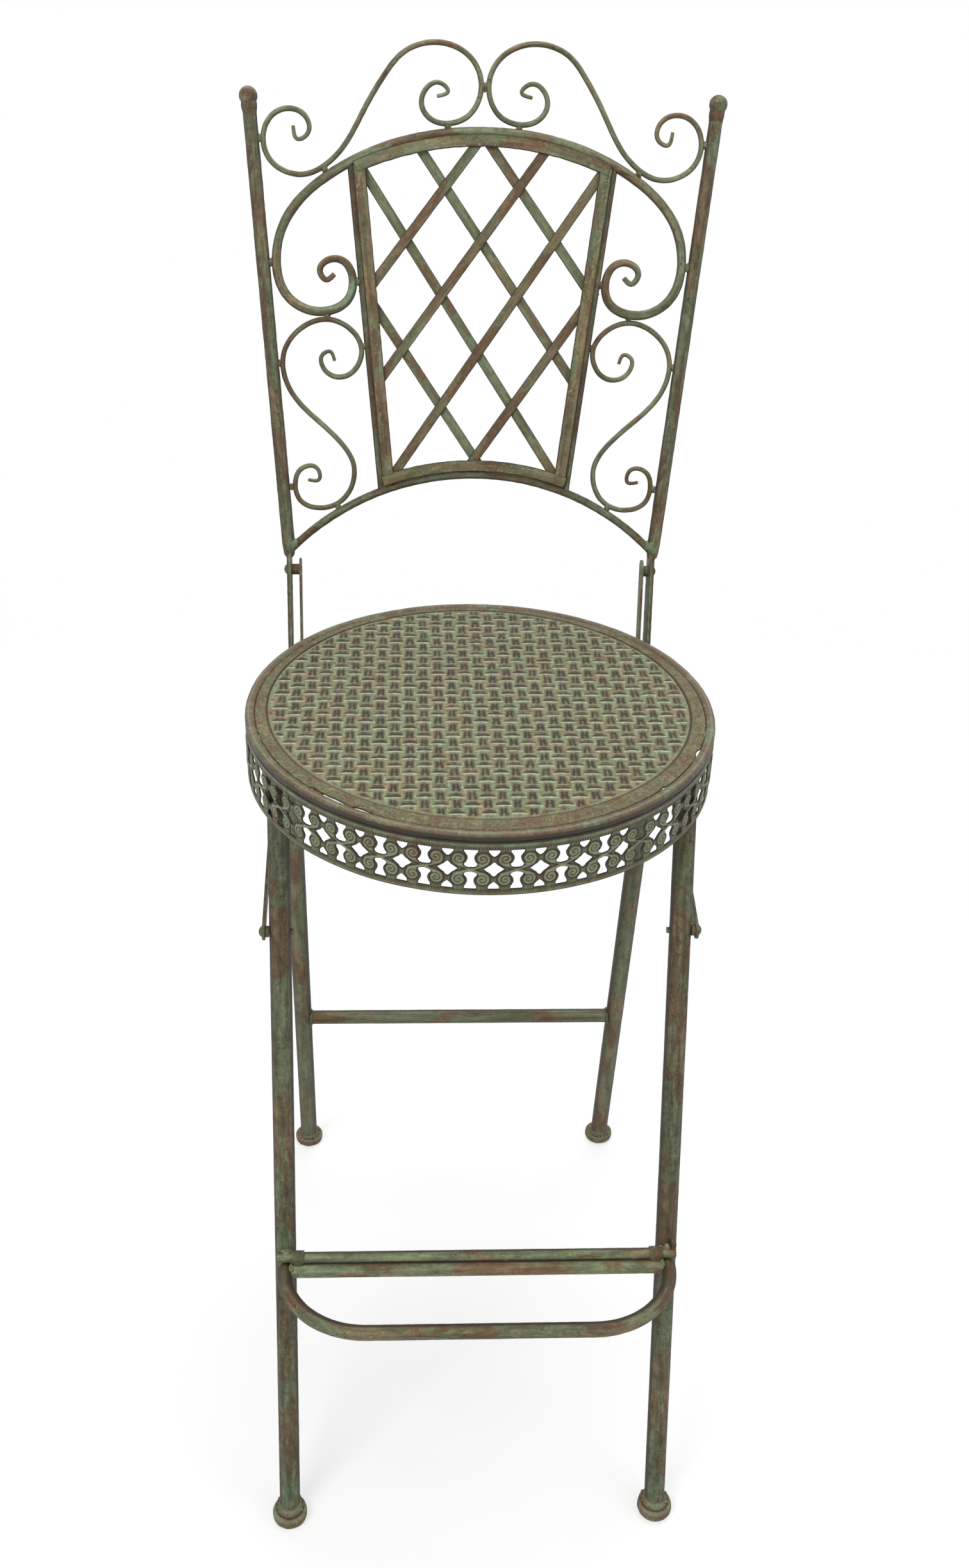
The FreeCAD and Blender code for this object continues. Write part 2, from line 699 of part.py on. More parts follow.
# Stays: flat straps outside the legs, pivoted on the rear legs
stay_inner_x = stay_x - stay_thickness / 2
stay_outer_x = stay_x + stay_thickness / 2
stay_run = Vector(0, stay_rear_y - stay_front.y, stay_rear_z - stay_front.z)
stay = Part.makeBox(stay_thickness, stay_run.Length, stay_width)
stay.translate(Vector(stay_inner_x, 0, -stay_width / 2))
stay.rotate(
    Vector(0, 0, 0), Vector(1, 0, 0), math.degrees(math.atan2(stay_run.z, stay_run.y))
)
stay.translate(Vector(0, stay_front.y, stay_front.z))
stay = stay.fuse([
    x_rod(stay_inner_x, stay_outer_x, stay_front.y, stay_front.z, stay_width / 2),
    x_rod(stay_inner_x, stay_outer_x, stay_rear_y, stay_rear_z, stay_width / 2),
]).removeSplitter()
stay_rivet = x_rod(
    leg_outer_x + side_gap, stay_outer_x, stay_front.y, stay_front.z, rivet_diameter / 2
).fuse([
    x_rod(
        leg_outer_x + side_gap, stay_inner_x, stay_front.y, stay_front.z,
        rivet_head_diameter / 2,
    ),
    dome(stay_outer_x, stay_front.y, stay_front.z, rivet_head_diameter, rivet_head_height, 1),
])
stay = stay.cut([
    stay_rivet, x_rod(stay_inner_x, stay_outer_x, stay_rear_y, stay_rear_z, hole_radius),
])
stay_pivot_rivet = x_rod(
    rear_leg_x, stay_outer_x + side_gap, stay_rear_y, stay_rear_z, rivet_diameter / 2
).fuse(
    dome(
        stay_outer_x + side_gap, stay_rear_y, stay_rear_z, rivet_head_diameter,
        rivet_head_height, 1,
    )
)
rear_leg_left = single(rear_leg_left.cut(mirrored(stay_pivot_rivet)))
rear_leg_right = single(rear_leg_right.cut(stay_pivot_rivet))

# Footrest loop
loop_radius = loop_diameter / 2
corner_centre_x = front_leg_x - loop_corner_radius
corner_centre_y = loop_front_y + loop_corner_radius
bend = loop_corner_radius * math.sqrt(0.5)
corner_right = Part.Arc(
    Vector(front_leg_x, corner_centre_y, loop_z),
    Vector(corner_centre_x + bend, corner_centre_y - bend, loop_z),
    Vector(corner_centre_x, loop_front_y, loop_z),
)
corner_left = Part.Arc(
    Vector(-corner_centre_x, loop_front_y, loop_z),
    Vector(-corner_centre_x - bend, corner_centre_y - bend, loop_z),
    Vector(-front_leg_x, corner_centre_y, loop_z),
)


def loop_path(radius):
    path = Part.Wire([
        Part.makeLine(
            Vector(front_leg_x, loop_rear_y, loop_z),
            Vector(front_leg_x, corner_centre_y, loop_z),
        ),
        corner_right.toShape(),
        Part.makeLine(
            Vector(corner_centre_x, loop_front_y, loop_z),
            Vector(-corner_centre_x, loop_front_y, loop_z),
        ),
        corner_left.toShape(),
        Part.makeLine(
            Vector(-front_leg_x, corner_centre_y, loop_z),
            Vector(-front_leg_x, loop_rear_y, loop_z),
        ),
    ])
    start = Vector(front_leg_x, loop_rear_y, loop_z)
    ring = Part.Wire(Part.makeCircle(radius, start, Vector(0, -1, 0)))
    return path.makePipeShell([ring], True, True)


arm_end = Vector(front_leg_x, loop_rear_y, loop_z)
loop_outer = loop_path(loop_radius).fuse([
    Part.makeSphere(loop_radius, arm_end),
    Part.makeSphere(loop_radius, Vector(-arm_end.x, arm_end.y, arm_end.z)),
])
footrest_loop = loop_outer.cut(loop_path(loop_radius - tube_wall))
footrest_rear_bar = x_rod(-front_leg_x, front_leg_x, loop_rear_y, loop_z, loop_radius)
footrest_rear_bar = single(footrest_rear_bar.cut(loop_outer))
eye = x_rod(eye_x - eye_width / 2, eye_x + eye_width / 2, rod_y, rod_z, eye_diameter / 2)
neck = Part.makeBox(
    eye_neck, eye_diameter / 2, rod_z - loop_z,
    Vector(eye_x - eye_neck / 2, rod_y - eye_diameter / 2 - eye_neck_forward, loop_z),
)
eye = eye.fuse(neck).cut([
    x_rod(0, rod_half_length, rod_y, rod_z, rod_diameter / 2 + running_clearance),
    footrest_rear_bar,
])
eye = single(eye.removeSplitter())

nodes = {
    "rear_leg_left": rear_leg_left,
    "rear_leg_right": rear_leg_right,
    "rear_feet": pair(rear_foot),
    "rear_crossbar": rear_crossbar,
    "back_bar_left": bar_left,
    "back_bar_right": bar_right,
    "back_upright_left": upright_left,
    "back_upright_right": upright_right,
    "finials": Part.makeCompound([finial(-1), finial(1)]),
    "main_arch_scroll": main_arch,
    "lower_arch_bar": lower_arch,
    "crest_scroll_left": crest_left,
    "crest_scroll_right": crest_right,
    "side_scroll_left": side_left,
    "side_scroll_right": side_right,
    "panel_side_bars": Part.makeCompound(side_bars),
    "panel_side_strips": Part.makeCompound(side_strips),
    "panel_top_strip": top_strip,
    "panel_bottom_strip": bottom_strip,
    "lattice_front_straps": Part.makeCompound(front_straps),
    "lattice_back_straps": Part.makeCompound(back_straps),
    "hanger_rivets": Part.makeCompound([hanger_rivet_left, hanger_rivet_right]),
    "stay_pivot_rivets": pair(stay_pivot_rivet),
    "seat_plate": on_seat(seat_plate),
    "seat_ring": on_seat(seat_ring),
    "seat_tabs": on_seat(seat_tabs),
    "seat_apron": on_seat(apron),
    "seat_hanger_left": on_seat(hanger_left),
    "seat_hanger_right": on_seat(hanger_right),
    "seat_cross_rails": on_seat(cross_rails),
    "front_leg_left": mirrored(front_leg),
    "front_leg_right": front_leg,
    "front_feet": pair(front_foot),
    "front_pivot_rivets": Part.makeCompound([front_rivet_left, front_rivet_right]),
    "stay_nubs": pair(nub),
    "footrest_rod": footrest_rod,
    "rod_lug": rod_lug,
    "stay_left": mirrored(stay),
    "stay_right": stay,
    "stay_rivet_left": mirrored(stay_rivet),
    "stay_rivet_right": stay_rivet,
    "footrest_loop": footrest_loop,
    "footrest_rear_bar": footrest_rear_bar,
    "footrest_eyes": pair(eye),
}

os.makedirs("parts", exist_ok=True)
for name, shape in nodes.items():
    placed = shape.copy()
    placed.translate(Vector(-origin_x, -origin_y, 0))
    placed.exportStep(os.path.join("parts", name + ".step"))
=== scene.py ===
import math

import bpy
import numpy as np
from mathutils import Matrix, Vector


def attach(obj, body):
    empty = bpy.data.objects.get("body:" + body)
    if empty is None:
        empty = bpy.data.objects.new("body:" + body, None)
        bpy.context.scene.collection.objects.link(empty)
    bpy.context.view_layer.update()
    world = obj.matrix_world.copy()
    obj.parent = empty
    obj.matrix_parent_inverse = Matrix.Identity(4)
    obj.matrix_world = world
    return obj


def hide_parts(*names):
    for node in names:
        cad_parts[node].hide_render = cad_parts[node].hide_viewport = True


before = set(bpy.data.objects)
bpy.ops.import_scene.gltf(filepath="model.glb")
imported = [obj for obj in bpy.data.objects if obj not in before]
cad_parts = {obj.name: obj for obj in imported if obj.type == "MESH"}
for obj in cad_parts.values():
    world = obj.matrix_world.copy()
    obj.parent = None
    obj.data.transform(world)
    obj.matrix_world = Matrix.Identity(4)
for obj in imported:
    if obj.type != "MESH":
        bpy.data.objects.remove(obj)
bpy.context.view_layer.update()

# Lengths are millimetres in the drawing frame, with the seat centre on the Z axis.
# The row frame starts in the middle of the bounding box: ORIGIN_X to the right, ORIGIN_Y in front.
MM = 0.001
ORIGIN_X = 2.95
ORIGIN_Y = 20.877

# The back's plane: a point on it, its tilt, and its lean to the right above LEAN_FROM
BACK_Y, BACK_Z = 169.5, 800.0
BACK_TILT = 0.2436
BACK_NORMAL = (0.0, -math.cos(BACK_TILT), math.sin(BACK_TILT))
BACK_LEAN = 0.0125
LEAN_FROM = 200.0

# The seat rises to the rear about the front of its ring
SEAT_RISE = math.radians(0.55)
SEAT_FRONT_Y, SEAT_FRONT_Z = -215.0, 740.3

# Painted shade darkens the flanks of a bar, which turn away from this direction
LIT_FACING = np.array([0.0, -0.85, 0.53])
FLANK_SHADE = 0.33
PLAIN_TONE = 0.5

LEFT_RIGHT = (("left", -1), ("right", 1))

# Bodies, each paired with a material slot name
BACKREST = ("rear_frame", "back_ironwork")
REAR_FRAME = ("rear_frame", "frame_bars")
FRONT_FRAME = ("front_frame", "frame_bars")
FOOTREST = ("footrest", "frame_bars")
SEAT = ("seat", "seat_sheet")


def srgb(*levels):
    """Linear colour with alpha from 8-bit levels."""
    def linear(c):
        return c / 12.92 if c <= 0.04045 else ((c + 0.055) / 1.055) ** 2.4
    return tuple(linear(c / 255.0) for c in levels) + (1.0,)


DARK = srgb(36, 32, 23)
UMBER = srgb(82, 64, 47)
OLIVE = srgb(102, 99, 68)
SAGE = srgb(119, 128, 97)
TAN = srgb(134, 118, 87)
BROWN = srgb(108, 80, 55)
RED = srgb(124, 84, 60)
MINT = srgb(128, 152, 116)
PALE = srgb(196, 208, 176)
FLECK = srgb(176, 180, 132)

# Places and lines


def in_back_plane(x, s, n=0.0):
    """Points of the back's plane, s up it and n in front of it, in the drawing frame."""
    x, s, n = np.broadcast_arrays(x, s, n)
    y = BACK_Y + math.sin(BACK_TILT) * s - math.cos(BACK_TILT) * n
    z = BACK_Z + math.cos(BACK_TILT) * s + math.sin(BACK_TILT) * n
    return np.stack([x, y, z], axis=-1)


def on_back(x, s, n=0.0):
    """As in_back_plane, for points drawn upright: the back leans a little to the right."""
    return in_back_plane(x + BACK_LEAN * (s - LEAN_FROM), s, n)


def on_seat(co):
    """The level seat's points, raised at the rear."""
    co = np.array(co, float)
    y, z = co[..., 1] - SEAT_FRONT_Y, co[..., 2] - SEAT_FRONT_Z
    co[..., 1] = SEAT_FRONT_Y + y * math.cos(SEAT_RISE) - z * math.sin(SEAT_RISE)
    co[..., 2] = SEAT_FRONT_Z + y * math.sin(SEAT_RISE) + z * math.cos(SEAT_RISE)
    return co


def turns(count):
    """Angles of a full turn, the last one short of the first."""
    return np.arange(count) / count * 2 * math.pi


def ripple(seed, scale, *coords):
    """Seven smooth pseudo-random waves of about that wavelength, mostly within -1 and 1."""
    rng = np.random.RandomState(seed)
    total = 0.0
    for _ in range(7):
        heading = rng.normal(size=len(coords))
        heading /= np.linalg.norm(heading)
        rate = 2 * math.pi / scale * rng.uniform(0.6, 1.6)
        phase = rng.uniform(0, 2 * math.pi)
        total = total + np.sin(rate * sum(h * c for h, c in zip(heading, coords)) + phase)
    return total / 2.65


def length_along(line):
    return np.concatenate([[0], np.cumsum(np.linalg.norm(np.diff(line, axis=0), axis=1))])


def even(line, step):
    """Points at an even step along a line."""
    run = length_along(line)
    at = np.linspace(0, run[-1], max(2, int(round(run[-1] / step)) + 1))
    return np.stack([np.interp(at, run, line[:, i]) for i in range(line.shape[1])], axis=1)


def spline(points, step=1.5):
    """Points at an even step along the smooth curve through the given ones."""
    p = np.array(points, float)
    t = length_along(p)
    h = np.diff(t)
    a = np.diag(np.concatenate([[1], 2 * (h[:-1] + h[1:]), [1]]))
    a += np.diag(np.append(h[:-1], 0), -1) + np.diag(np.append(0, h[1:]), 1)
    b = np.zeros(p.shape)
    b[1:-1] = 6 * np.diff(np.diff(p, axis=0) / h[:, None], axis=0)
    m = np.linalg.solve(a, b)
    u = np.linspace(0, t[-1], 4000)
    k = np.clip(np.searchsorted(t, u, side="right") - 1, 0, len(p) - 2)
    d0 = (u - t[k])[:, None]
    d1 = (t[k + 1] - u)[:, None]
    hk = h[k][:, None]
    line = (
        m[k] * d1 ** 3 / (6 * hk) + m[k + 1] * d0 ** 3 / (6 * hk)
        + (p[k] / hk - m[k] * hk / 6) * d1 + (p[k + 1] / hk - m[k + 1] * hk / 6) * d0
    )
    return even(line, step)


def headings(line):
    tangents = np.gradient(line, axis=0)
    return tangents / np.linalg.norm(tangents, axis=1)[:, None]


def carry(line, side):
    """Two cross directions that turn as little as possible along the line."""
    tangents = headings(line)
    side = np.asarray(side, float)
    first = np.empty_like(line)
    for i, tangent in enumerate(tangents):
        side = side - tangent * side.dot(tangent)
        side = side / np.linalg.norm(side)
        first[i] = side
    return first, np.cross(tangents, first)


# Meshes


class Shell:
    """Collects vertices, faces and the patina's coordinates and tones of one piece."""

    def __init__(self):
        self.co, self.faces, self.flow, self.tone = [], [], [], []
        self.count = 0
        self.weighted = False

    def add(self, co, flow, tone, *faces):
        co = np.asarray(co, float).reshape(-1, 3)
        self.co.append(co)
        self.flow.append(np.asarray(flow, float).reshape(-1, 3))
        self.tone.append(np.asarray(tone, float).ravel())
        self.faces += [block + self.count for block in faces]
        self.count += len(co)
        return self

    def build(self, name, paint, home, *replaces, sharp=None):
        body, slot = home
        co = np.concatenate(self.co)
        co = ((on_seat(co) if home == SEAT else co) + (-ORIGIN_X, ORIGIN_Y, 0.0)) * MM
        loops = np.concatenate([block.ravel() for block in self.faces])
        sizes = np.concatenate([np.full(len(block), block.shape[1]) for block in self.faces])
        mesh = bpy.data.meshes.new(name)
        mesh.vertices.add(len(co))
        mesh.vertices.foreach_set("co", co.astype(np.float32).ravel())
        mesh.loops.add(len(loops))
        mesh.loops.foreach_set("vertex_index", loops.astype(np.int32))
        mesh.polygons.add(len(sizes))
        mesh.polygons.foreach_set("loop_start", (np.cumsum(sizes) - sizes).astype(np.int32))
        mesh.update(calc_edges=True)
        mesh.validate()
        mesh.polygons.foreach_set("use_smooth", np.ones(len(mesh.polygons), bool))
        for key, kind, field, values in (
            ("flow", "FLOAT_VECTOR", "vector", np.concatenate(self.flow) * MM),
            ("tone", "FLOAT", "value", np.concatenate(self.tone)),
        ):
            layer = mesh.attributes.new(key, kind, "POINT")
            layer.data.foreach_set(field, values.astype(np.float32).ravel())
        if sharp is not None:
            mesh.set_sharp_from_angle(angle=math.radians(sharp))
        mesh.materials.append(PAINTS[paint])
        piece = bpy.data.objects.new(name, mesh)
        bpy.context.scene.collection.objects.link(piece)
        if self.weighted:
            modifier = piece.modifiers.new("even_faces", "WEIGHTED_NORMAL")
            modifier.keep_sharp = True
        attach(piece, body)
        if replaces:
            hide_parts(*replaces)


def grid_faces(rows, columns):
    """Quads between rows of points, each row joined to its own start."""
    i = np.arange(rows - 1)[:, None] * columns
    j = np.arange(columns)[None, :]
    k = (j + 1) % columns
    return np.stack([i + j, i + k, i + columns + k, i + columns + j], axis=-1).reshape(-1, 4)


def corners_of(grid):
    """The four corners of each cell of a grid."""
    return grid[:-1, :-1], grid[:-1, 1:], grid[1:, 1:], grid[1:, :-1]


def round_ends(line, radius, start, end):
    """Ends a bar in a dome ('round') or a worn square end ('cut'), or leaves it 'open'."""
    for kind in (start, end):
        if kind != "open":
            last = radius[0]
            out = (line[0] - line[1]) / np.linalg.norm(line[0] - line[1])
            if kind == "round":
                angles = np.radians([89, 80, 64, 45, 22])
                offsets, scales = last * np.sin(angles), last * np.cos(angles)
            else:
                offsets = np.array([2.0, 1.98, 1.9, 1.6, 1.0])
                scales = last * np.array([0.02, 0.6, 0.86, 0.98, 1.02])
            line = np.concatenate([line[0] + out * offsets[:, None], line])
            radius = np.concatenate([scales, radius])
        # The other end's turn
        line, radius = line[::-1], radius[::-1]
    return line, radius


def bar(shell, line, radius, seed, sides=18, start="open", end="open", side=(0, 0, 1), rough=0.02):
    """A round bar along a line, with the slight hammering of forged work and painted shade on its
    flanks.
    """
    line, radius = round_ends(line, np.broadcast_to(radius, (len(line),)), start, end)
    first, second = carry(line, side)
    angle = turns(sides)
    c, s = np.cos(angle), np.sin(angle)
    x, y = radius[:, None] * c, radius[:, None] * s
    along = length_along(line)[:, None] + 0 * c
    hammered = 0.6 * ripple(seed, 9.0, x, y, along) + 0.5 * ripple(seed + 77, 45.0, x, y, along)
    grow = 1 + rough * hammered
    co = (
        line[:, None, :] + first[:, None, :] * (x * grow)[..., None]
        + second[:, None, :] * (y * grow)[..., None]
    )
    normal = first[:, None, :] * c[None, :, None] + second[:, None, :] * s[None, :, None]
    # Painted shade on the flanks that turn away from the front and above
    shaded_flank = np.clip((0.68 - np.abs(normal @ LIT_FACING)) / 0.34, 0, 1)
    flow = np.stack([x, y, along + seed * 137.0], axis=-1)
    return shell.add(co, flow, PLAIN_TONE - FLANK_SHADE * shaded_flank, grid_faces(len(line), sides))


def strap(shell, line, normal, width, thickness, seed, corner=0.6, rim=0.5, face_tone=PLAIN_TONE,
          edge_shade_tone=0.16, side_shading_tones=(0.12, 0.12), rough=0.02):
    """A flat bar along a line, with its broad face towards normal and worn corners, darkened with
    painted shade.

    The side tones are those of the narrow sides, next to the front face and next to the rear one;
    low ones paint shade there and high ones a highlight.
    """
    tangents = headings(line)
    across = np.cross(tangents, normal)
    across /= np.linalg.norm(across, axis=1)[:, None]
    up = np.cross(across, tangents)
    w, t = width / 2, thickness / 2
    inner = w - corner - rim
    half = np.array([
        (-w, t - corner), (corner - w, t), (-inner, t), (-inner / 3, t),
        (inner / 3, t), (inner, t), (w - corner, t), (w, t - corner),
    ])
    a, b = np.roll(np.concatenate([half, -half]), -2, axis=0).T
    # The corners and narrow sides take their tones: painted shade, or a painted highlight where a
    # side tone is high
    tone = np.roll([
        (side, edge_shade_tone, *[face_tone] * 4, edge_shade_tone, side) for side in side_shading_tones
    ], -2)
    x, y, along = np.broadcast_arrays(a, b, length_along(line)[:, None])
    wide = x * (1 + rough * 0.5 * ripple(seed, 14.0, along))
    wide = wide + rough * 1.2 * ripple(seed + 5, 22.0, along)
    thick = y + rough * 0.8 * ripple(seed + 9, 8.0, along, x)
    co = line[:, None, :] + across[:, None, :] * wide[..., None] + up[:, None, :] * thick[..., None]
    end = np.arange(len(a))[None, :]
    shell.weighted = True
    return shell.add(
        co, np.stack([x, y, along + seed * 91.0], axis=-1), np.tile(tone.ravel(), len(line)),
        grid_faces(len(line), len(a)), end[:, ::-1], end + (len(line) - 1) * len(a),
    )


def blob(shell, centre, radii, seed, tone=PLAIN_TONE, lump=0.2, axes=np.eye(3)):
    """A weld bead: a small lump with an uneven surface."""
    rows, columns = 11, 16
    theta = np.linspace(0.02, math.pi - 0.02, rows)[:, None]
    phi = turns(columns)
    unit = (np.sin(theta) * np.cos(phi), np.sin(theta) * np.sin(phi), np.cos(theta) + 0 * phi)
    swell = 1 + lump * ripple(seed, 1.4, *unit)
    co = (np.stack(unit, axis=-1) * np.asarray(radii, float) * swell[..., None]) @ axes + centre
    uneven_tone = tone + 0.12 * ripple(seed + 3, 1.0, *unit)
    return shell.add(co, co + seed * 31.0, uneven_tone, grid_faces(rows, columns))


def lathe(shell, profile, segments, seed, rough=0.0, tones=PLAIN_TONE, scale=12.0, lift=0.0,
          centre=(0, 0)):
    """A body of revolution about a vertical axis; its profile is a list of (radius, z)."""
    angle = turns(segments)
    c, s = np.cos(angle), np.sin(angle)
    r, z = (column[:, None] + 0 * c for column in np.array(profile, float).T)
    x, y = r * c, r * s
    r = r + rough * ripple(seed, scale, x, y, z)
    z = z + lift * ripple(seed + 4, scale * 1.3, x, y)
    co = np.stack([r * c + centre[0], r * s + centre[1], z], axis=-1)
    tones = np.repeat(np.broadcast_to(tones, (len(profile),)), segments)
    return shell.add(co, co, tones, grid_faces(len(profile), segments))


# Patina


def node(tree, kind, feeds=(), out=None, **settings):
    """Adds a shader node and returns its named output, or the first one in use.

    feeds gives its inputs by name or number, each a value or another node's output.
    """
    made = tree.nodes.new("ShaderNode" + kind)
    for key, value in settings.items():
        setattr(made, key, value)
    for key, value in dict(feeds).items():
        if isinstance(value, bpy.types.NodeSocket):
            tree.links.new(value, made.inputs[key])
        else:
            made.inputs[key].default_value = value
    return made.outputs[out] if out else next(o for o in made.outputs if o.enabled)


def patina(name, space="flow", stretch=0.35, green=0.5, olive=0.35, brown=0.3, red=0.15, mint=0.12,
           flecks=0.5, specks=0.4, streaks=0.3, mottle=0.3, light=0.9, rough=0.6, bump=0.5,
           size=1.0):
    """Verdigris paint: patches of sage, tan, olive, brown and mint with flecks, specks and streaks.

    green, olive, brown, red and mint are the shares of the surface that each colour takes. The
    patches follow the flow of a bar, or the object's own coordinates in the other two spaces:
    "seat", and "object" for CAD nodes, which have no tones.
    """
    material = bpy.data.materials.new(name)
    material.use_nodes = True
    tree = material.node_tree
    shader = tree.nodes["Principled BSDF"]
    if space == "flow":
        source = node(tree, "Attribute", out="Vector", attribute_name="flow")
    else:
        source = node(tree, "TexCoord", out="Object")

    def cloud(scale, detail, roughness, along=1.0, shift=0.0, distortion=0.0):
        mapped = node(tree, "Mapping", {
            "Vector": source, "Scale": (size, size, size * along),
            "Location": (shift, shift * 0.7, shift * 1.3),
        })
        return node(tree, "TexNoise", {
            "Vector": mapped, "Scale": scale, "Detail": detail, "Roughness": roughness,
            "Distortion": distortion,
        })

    def step(value, low, high, to_low=0.0, to_high=1.0):
        return node(tree, "MapRange", {
            "Value": value, "From Min": low, "From Max": high, "To Min": to_low, "To Max": to_high,
        }, interpolation_type="SMOOTHSTEP")

    def times(a, b):
        return node(tree, "Math", {0: a, 1: b}, operation="MULTIPLY")

    def blend(factor, below, above):
        below, above = (
            tuple(c * light for c in value[:3]) + (1.0,) if isinstance(value, tuple) else value
            for value in (below, above)
        )
        return node(tree, "Mix", {"Factor": factor, "A": below, "B": above}, data_type="RGBA")

    def share(value, part, soft=0.05):
        """Mask of the top part of a cloud."""
        edge = 0.66 - 0.32 * part
        return step(value, edge - soft, edge + soft)

    fine = cloud(520.0, 3.0, 0.65, 1.0, 1.7)
    crack = cloud(260.0, 4.0, 0.7, 0.8, 9.4, 1.6)
    base = blend(share(cloud(30.0, 5.0, 0.62, stretch, 0.0, 0.5), green), TAN, SAGE)
    for colour, part, soft, strength, pattern in (
        (OLIVE, olive, 0.06, 0.8, (62.0, 5.0, 0.65, stretch, 3.1, 0.6)),
        (BROWN, brown, 0.035, 0.85, (38.0, 6.0, 0.68, stretch * 0.8, 7.7, 0.7)),
        (RED, red, 0.06, 0.7, (40.0, 4.0, 0.62, stretch, 12.9, 0.2)),
        (MINT, mint, 0.06, 0.7, (36.0, 4.0, 0.64, stretch, 15.2, 0.2)),
    ):
        base = blend(times(share(cloud(*pattern), part, soft), strength), base, colour)
    for depth, low, high, pattern in (
        (streaks, 0.3, 0.7, (300.0, 3.0, 0.6, 0.07, 30.4)),
        (mottle, 0.25, 0.75, (190.0, 5.0, 0.75, 0.7, 26.6)),
    ):
        factor = step(cloud(*pattern), low, high, 1.0 - depth, 1.0 + depth)
        base = node(tree, "VectorMath", {0: base, "Scale": factor}, operation="SCALE")
    # Flecks and specks come in zones
    for colour, amount, grain, high, zone, zone_high in (
        (FLECK, flecks, fine, 0.66, (85.0, 3.0, 0.55, 0.5, 21.0), 0.60),
        (DARK, specks, crack, 0.63, (70.0, 3.0, 0.55, 0.5, 41.0), 0.58),
    ):
        mask = times(step(grain, 0.57, high), step(cloud(*zone), 0.44, zone_high))
        base = blend(times(mask, 0.85 * amount), base, colour)
    if space != "object":
        # The tone attribute darkens towards UMBER and DARK and lightens towards PALE: painted shade
        # and painted highlights, beside the paint's darker hollows and paler ridges
        tone = node(tree, "Attribute", out="Fac", attribute_name="tone")
        for colour, none, full, strength in (
            (UMBER, 0.5, 0.28, 0.72), (DARK, 0.36, 0.04, 0.95), (PALE, 0.5, 0.95, 0.85),
        ):
            base = blend(times(step(tone, none, full), strength), base, colour)

    height = node(tree, "Math", {0: times(fine, 0.5), 1: times(crack, 1.2)}, operation="ADD")
    relief = node(tree, "Bump", {"Strength": bump, "Distance": 0.0007, "Height": height})
    shader.inputs["Specular IOR Level"].default_value = 0.4
    for socket, value in (
        ("Base Color", base), ("Normal", relief),
        ("Roughness", step(crack, 0.3, 0.7, rough - 0.1, rough + 0.1)),
    ):
        tree.links.new(value, shader.inputs[socket])
    return material


SHEET_LOOK = {"space": "seat", "stretch": 1.0, "streaks": 0.05}
PAINTS = {name: patina("patina_" + name, **settings) for name, settings in {
    "bars": dict(green=0.65, brown=0.4, red=0.12, mint=0.06, specks=0.8, streaks=0.35, mottle=0.4,
                 light=0.74),
    "footrest": dict(green=0.75, brown=0.25, red=0.2, mint=0.1, specks=0.6, light=1.12),
    "flat_bars": dict(green=0.75, red=0.08, mint=0.15, specks=0.5, streaks=0.4, light=0.82),
    "legs": dict(green=0.65, brown=0.42, red=0.08, mint=0.08, flecks=0.6, specks=0.9, streaks=0.4,
                 mottle=0.45, stretch=0.45, size=0.9, light=0.66),
    "loop": dict(green=0.6, brown=0.45, mint=0.08, flecks=0.9, specks=0.8, light=0.84),
    "rear_legs": dict(green=0.7, red=0.12, mint=0.05, flecks=0.4, stretch=0.4, size=0.8,
                      mottle=0.2, light=0.82),
    "scrolls": dict(green=0.7, brown=0.35, red=0.1, mint=0.06, specks=0.9, streaks=0.35,
                    mottle=0.35, light=0.94),
    "front_straps": dict(green=0.3, olive=0.4, brown=0.5, red=0.25, mint=0.04, flecks=0.4,
                         streaks=0.25, bump=0.3, light=0.88),
    "back_straps": dict(green=0.85, brown=0.2, red=0.08, mint=0.06, flecks=0.4, specks=0.3,
                        streaks=0.25, bump=0.3, light=0.96),
    "strips": dict(brown=0.35, mint=0.08, flecks=0.9, streaks=0.25, light=0.98),
    "welds": dict(green=0.6, brown=0.4, red=0.12, specks=0.8, streaks=0.1, mottle=0.4, light=0.85),
    "junctions": dict(stretch=1.0, green=0.9, brown=0.15, red=0.1, mint=0.75, specks=0.8,
                      streaks=0.1),
    "feet": dict(stretch=1.0, green=0.45, brown=0.45, red=0.2, streaks=0.1, mottle=0.35,
                 light=0.82),
    "seat": dict(SHEET_LOOK, green=0.62, olive=0.3, brown=0.2, red=0.0, mint=0.0, flecks=0.3,
                 bump=0.35, light=1.06, size=2.0),
    "rim": dict(SHEET_LOOK, green=0.4, olive=0.7, brown=0.4, red=0.02, mint=0.02, flecks=0.9,
                specks=0.9, mottle=0.6, light=0.88, size=1.8),
    "ring": dict(SHEET_LOOK, green=0.4, olive=0.6, brown=0.55, red=0.1, mint=0.03, flecks=0.6,
                 specks=0.9, mottle=0.5, light=0.76, rough=0.46),
    "apron": dict(SHEET_LOOK, green=0.9, olive=0.4, brown=0.22, red=0.05, mint=0.15, light=0.98),
    "straps": dict(space="object", stretch=1.0, green=0.55, brown=0.4, red=0.1, mint=0.06,
                   specks=0.6, streaks=0.1, mottle=0.4, light=0.75),
}.items()}

# Back: arch, scrolls and uprights

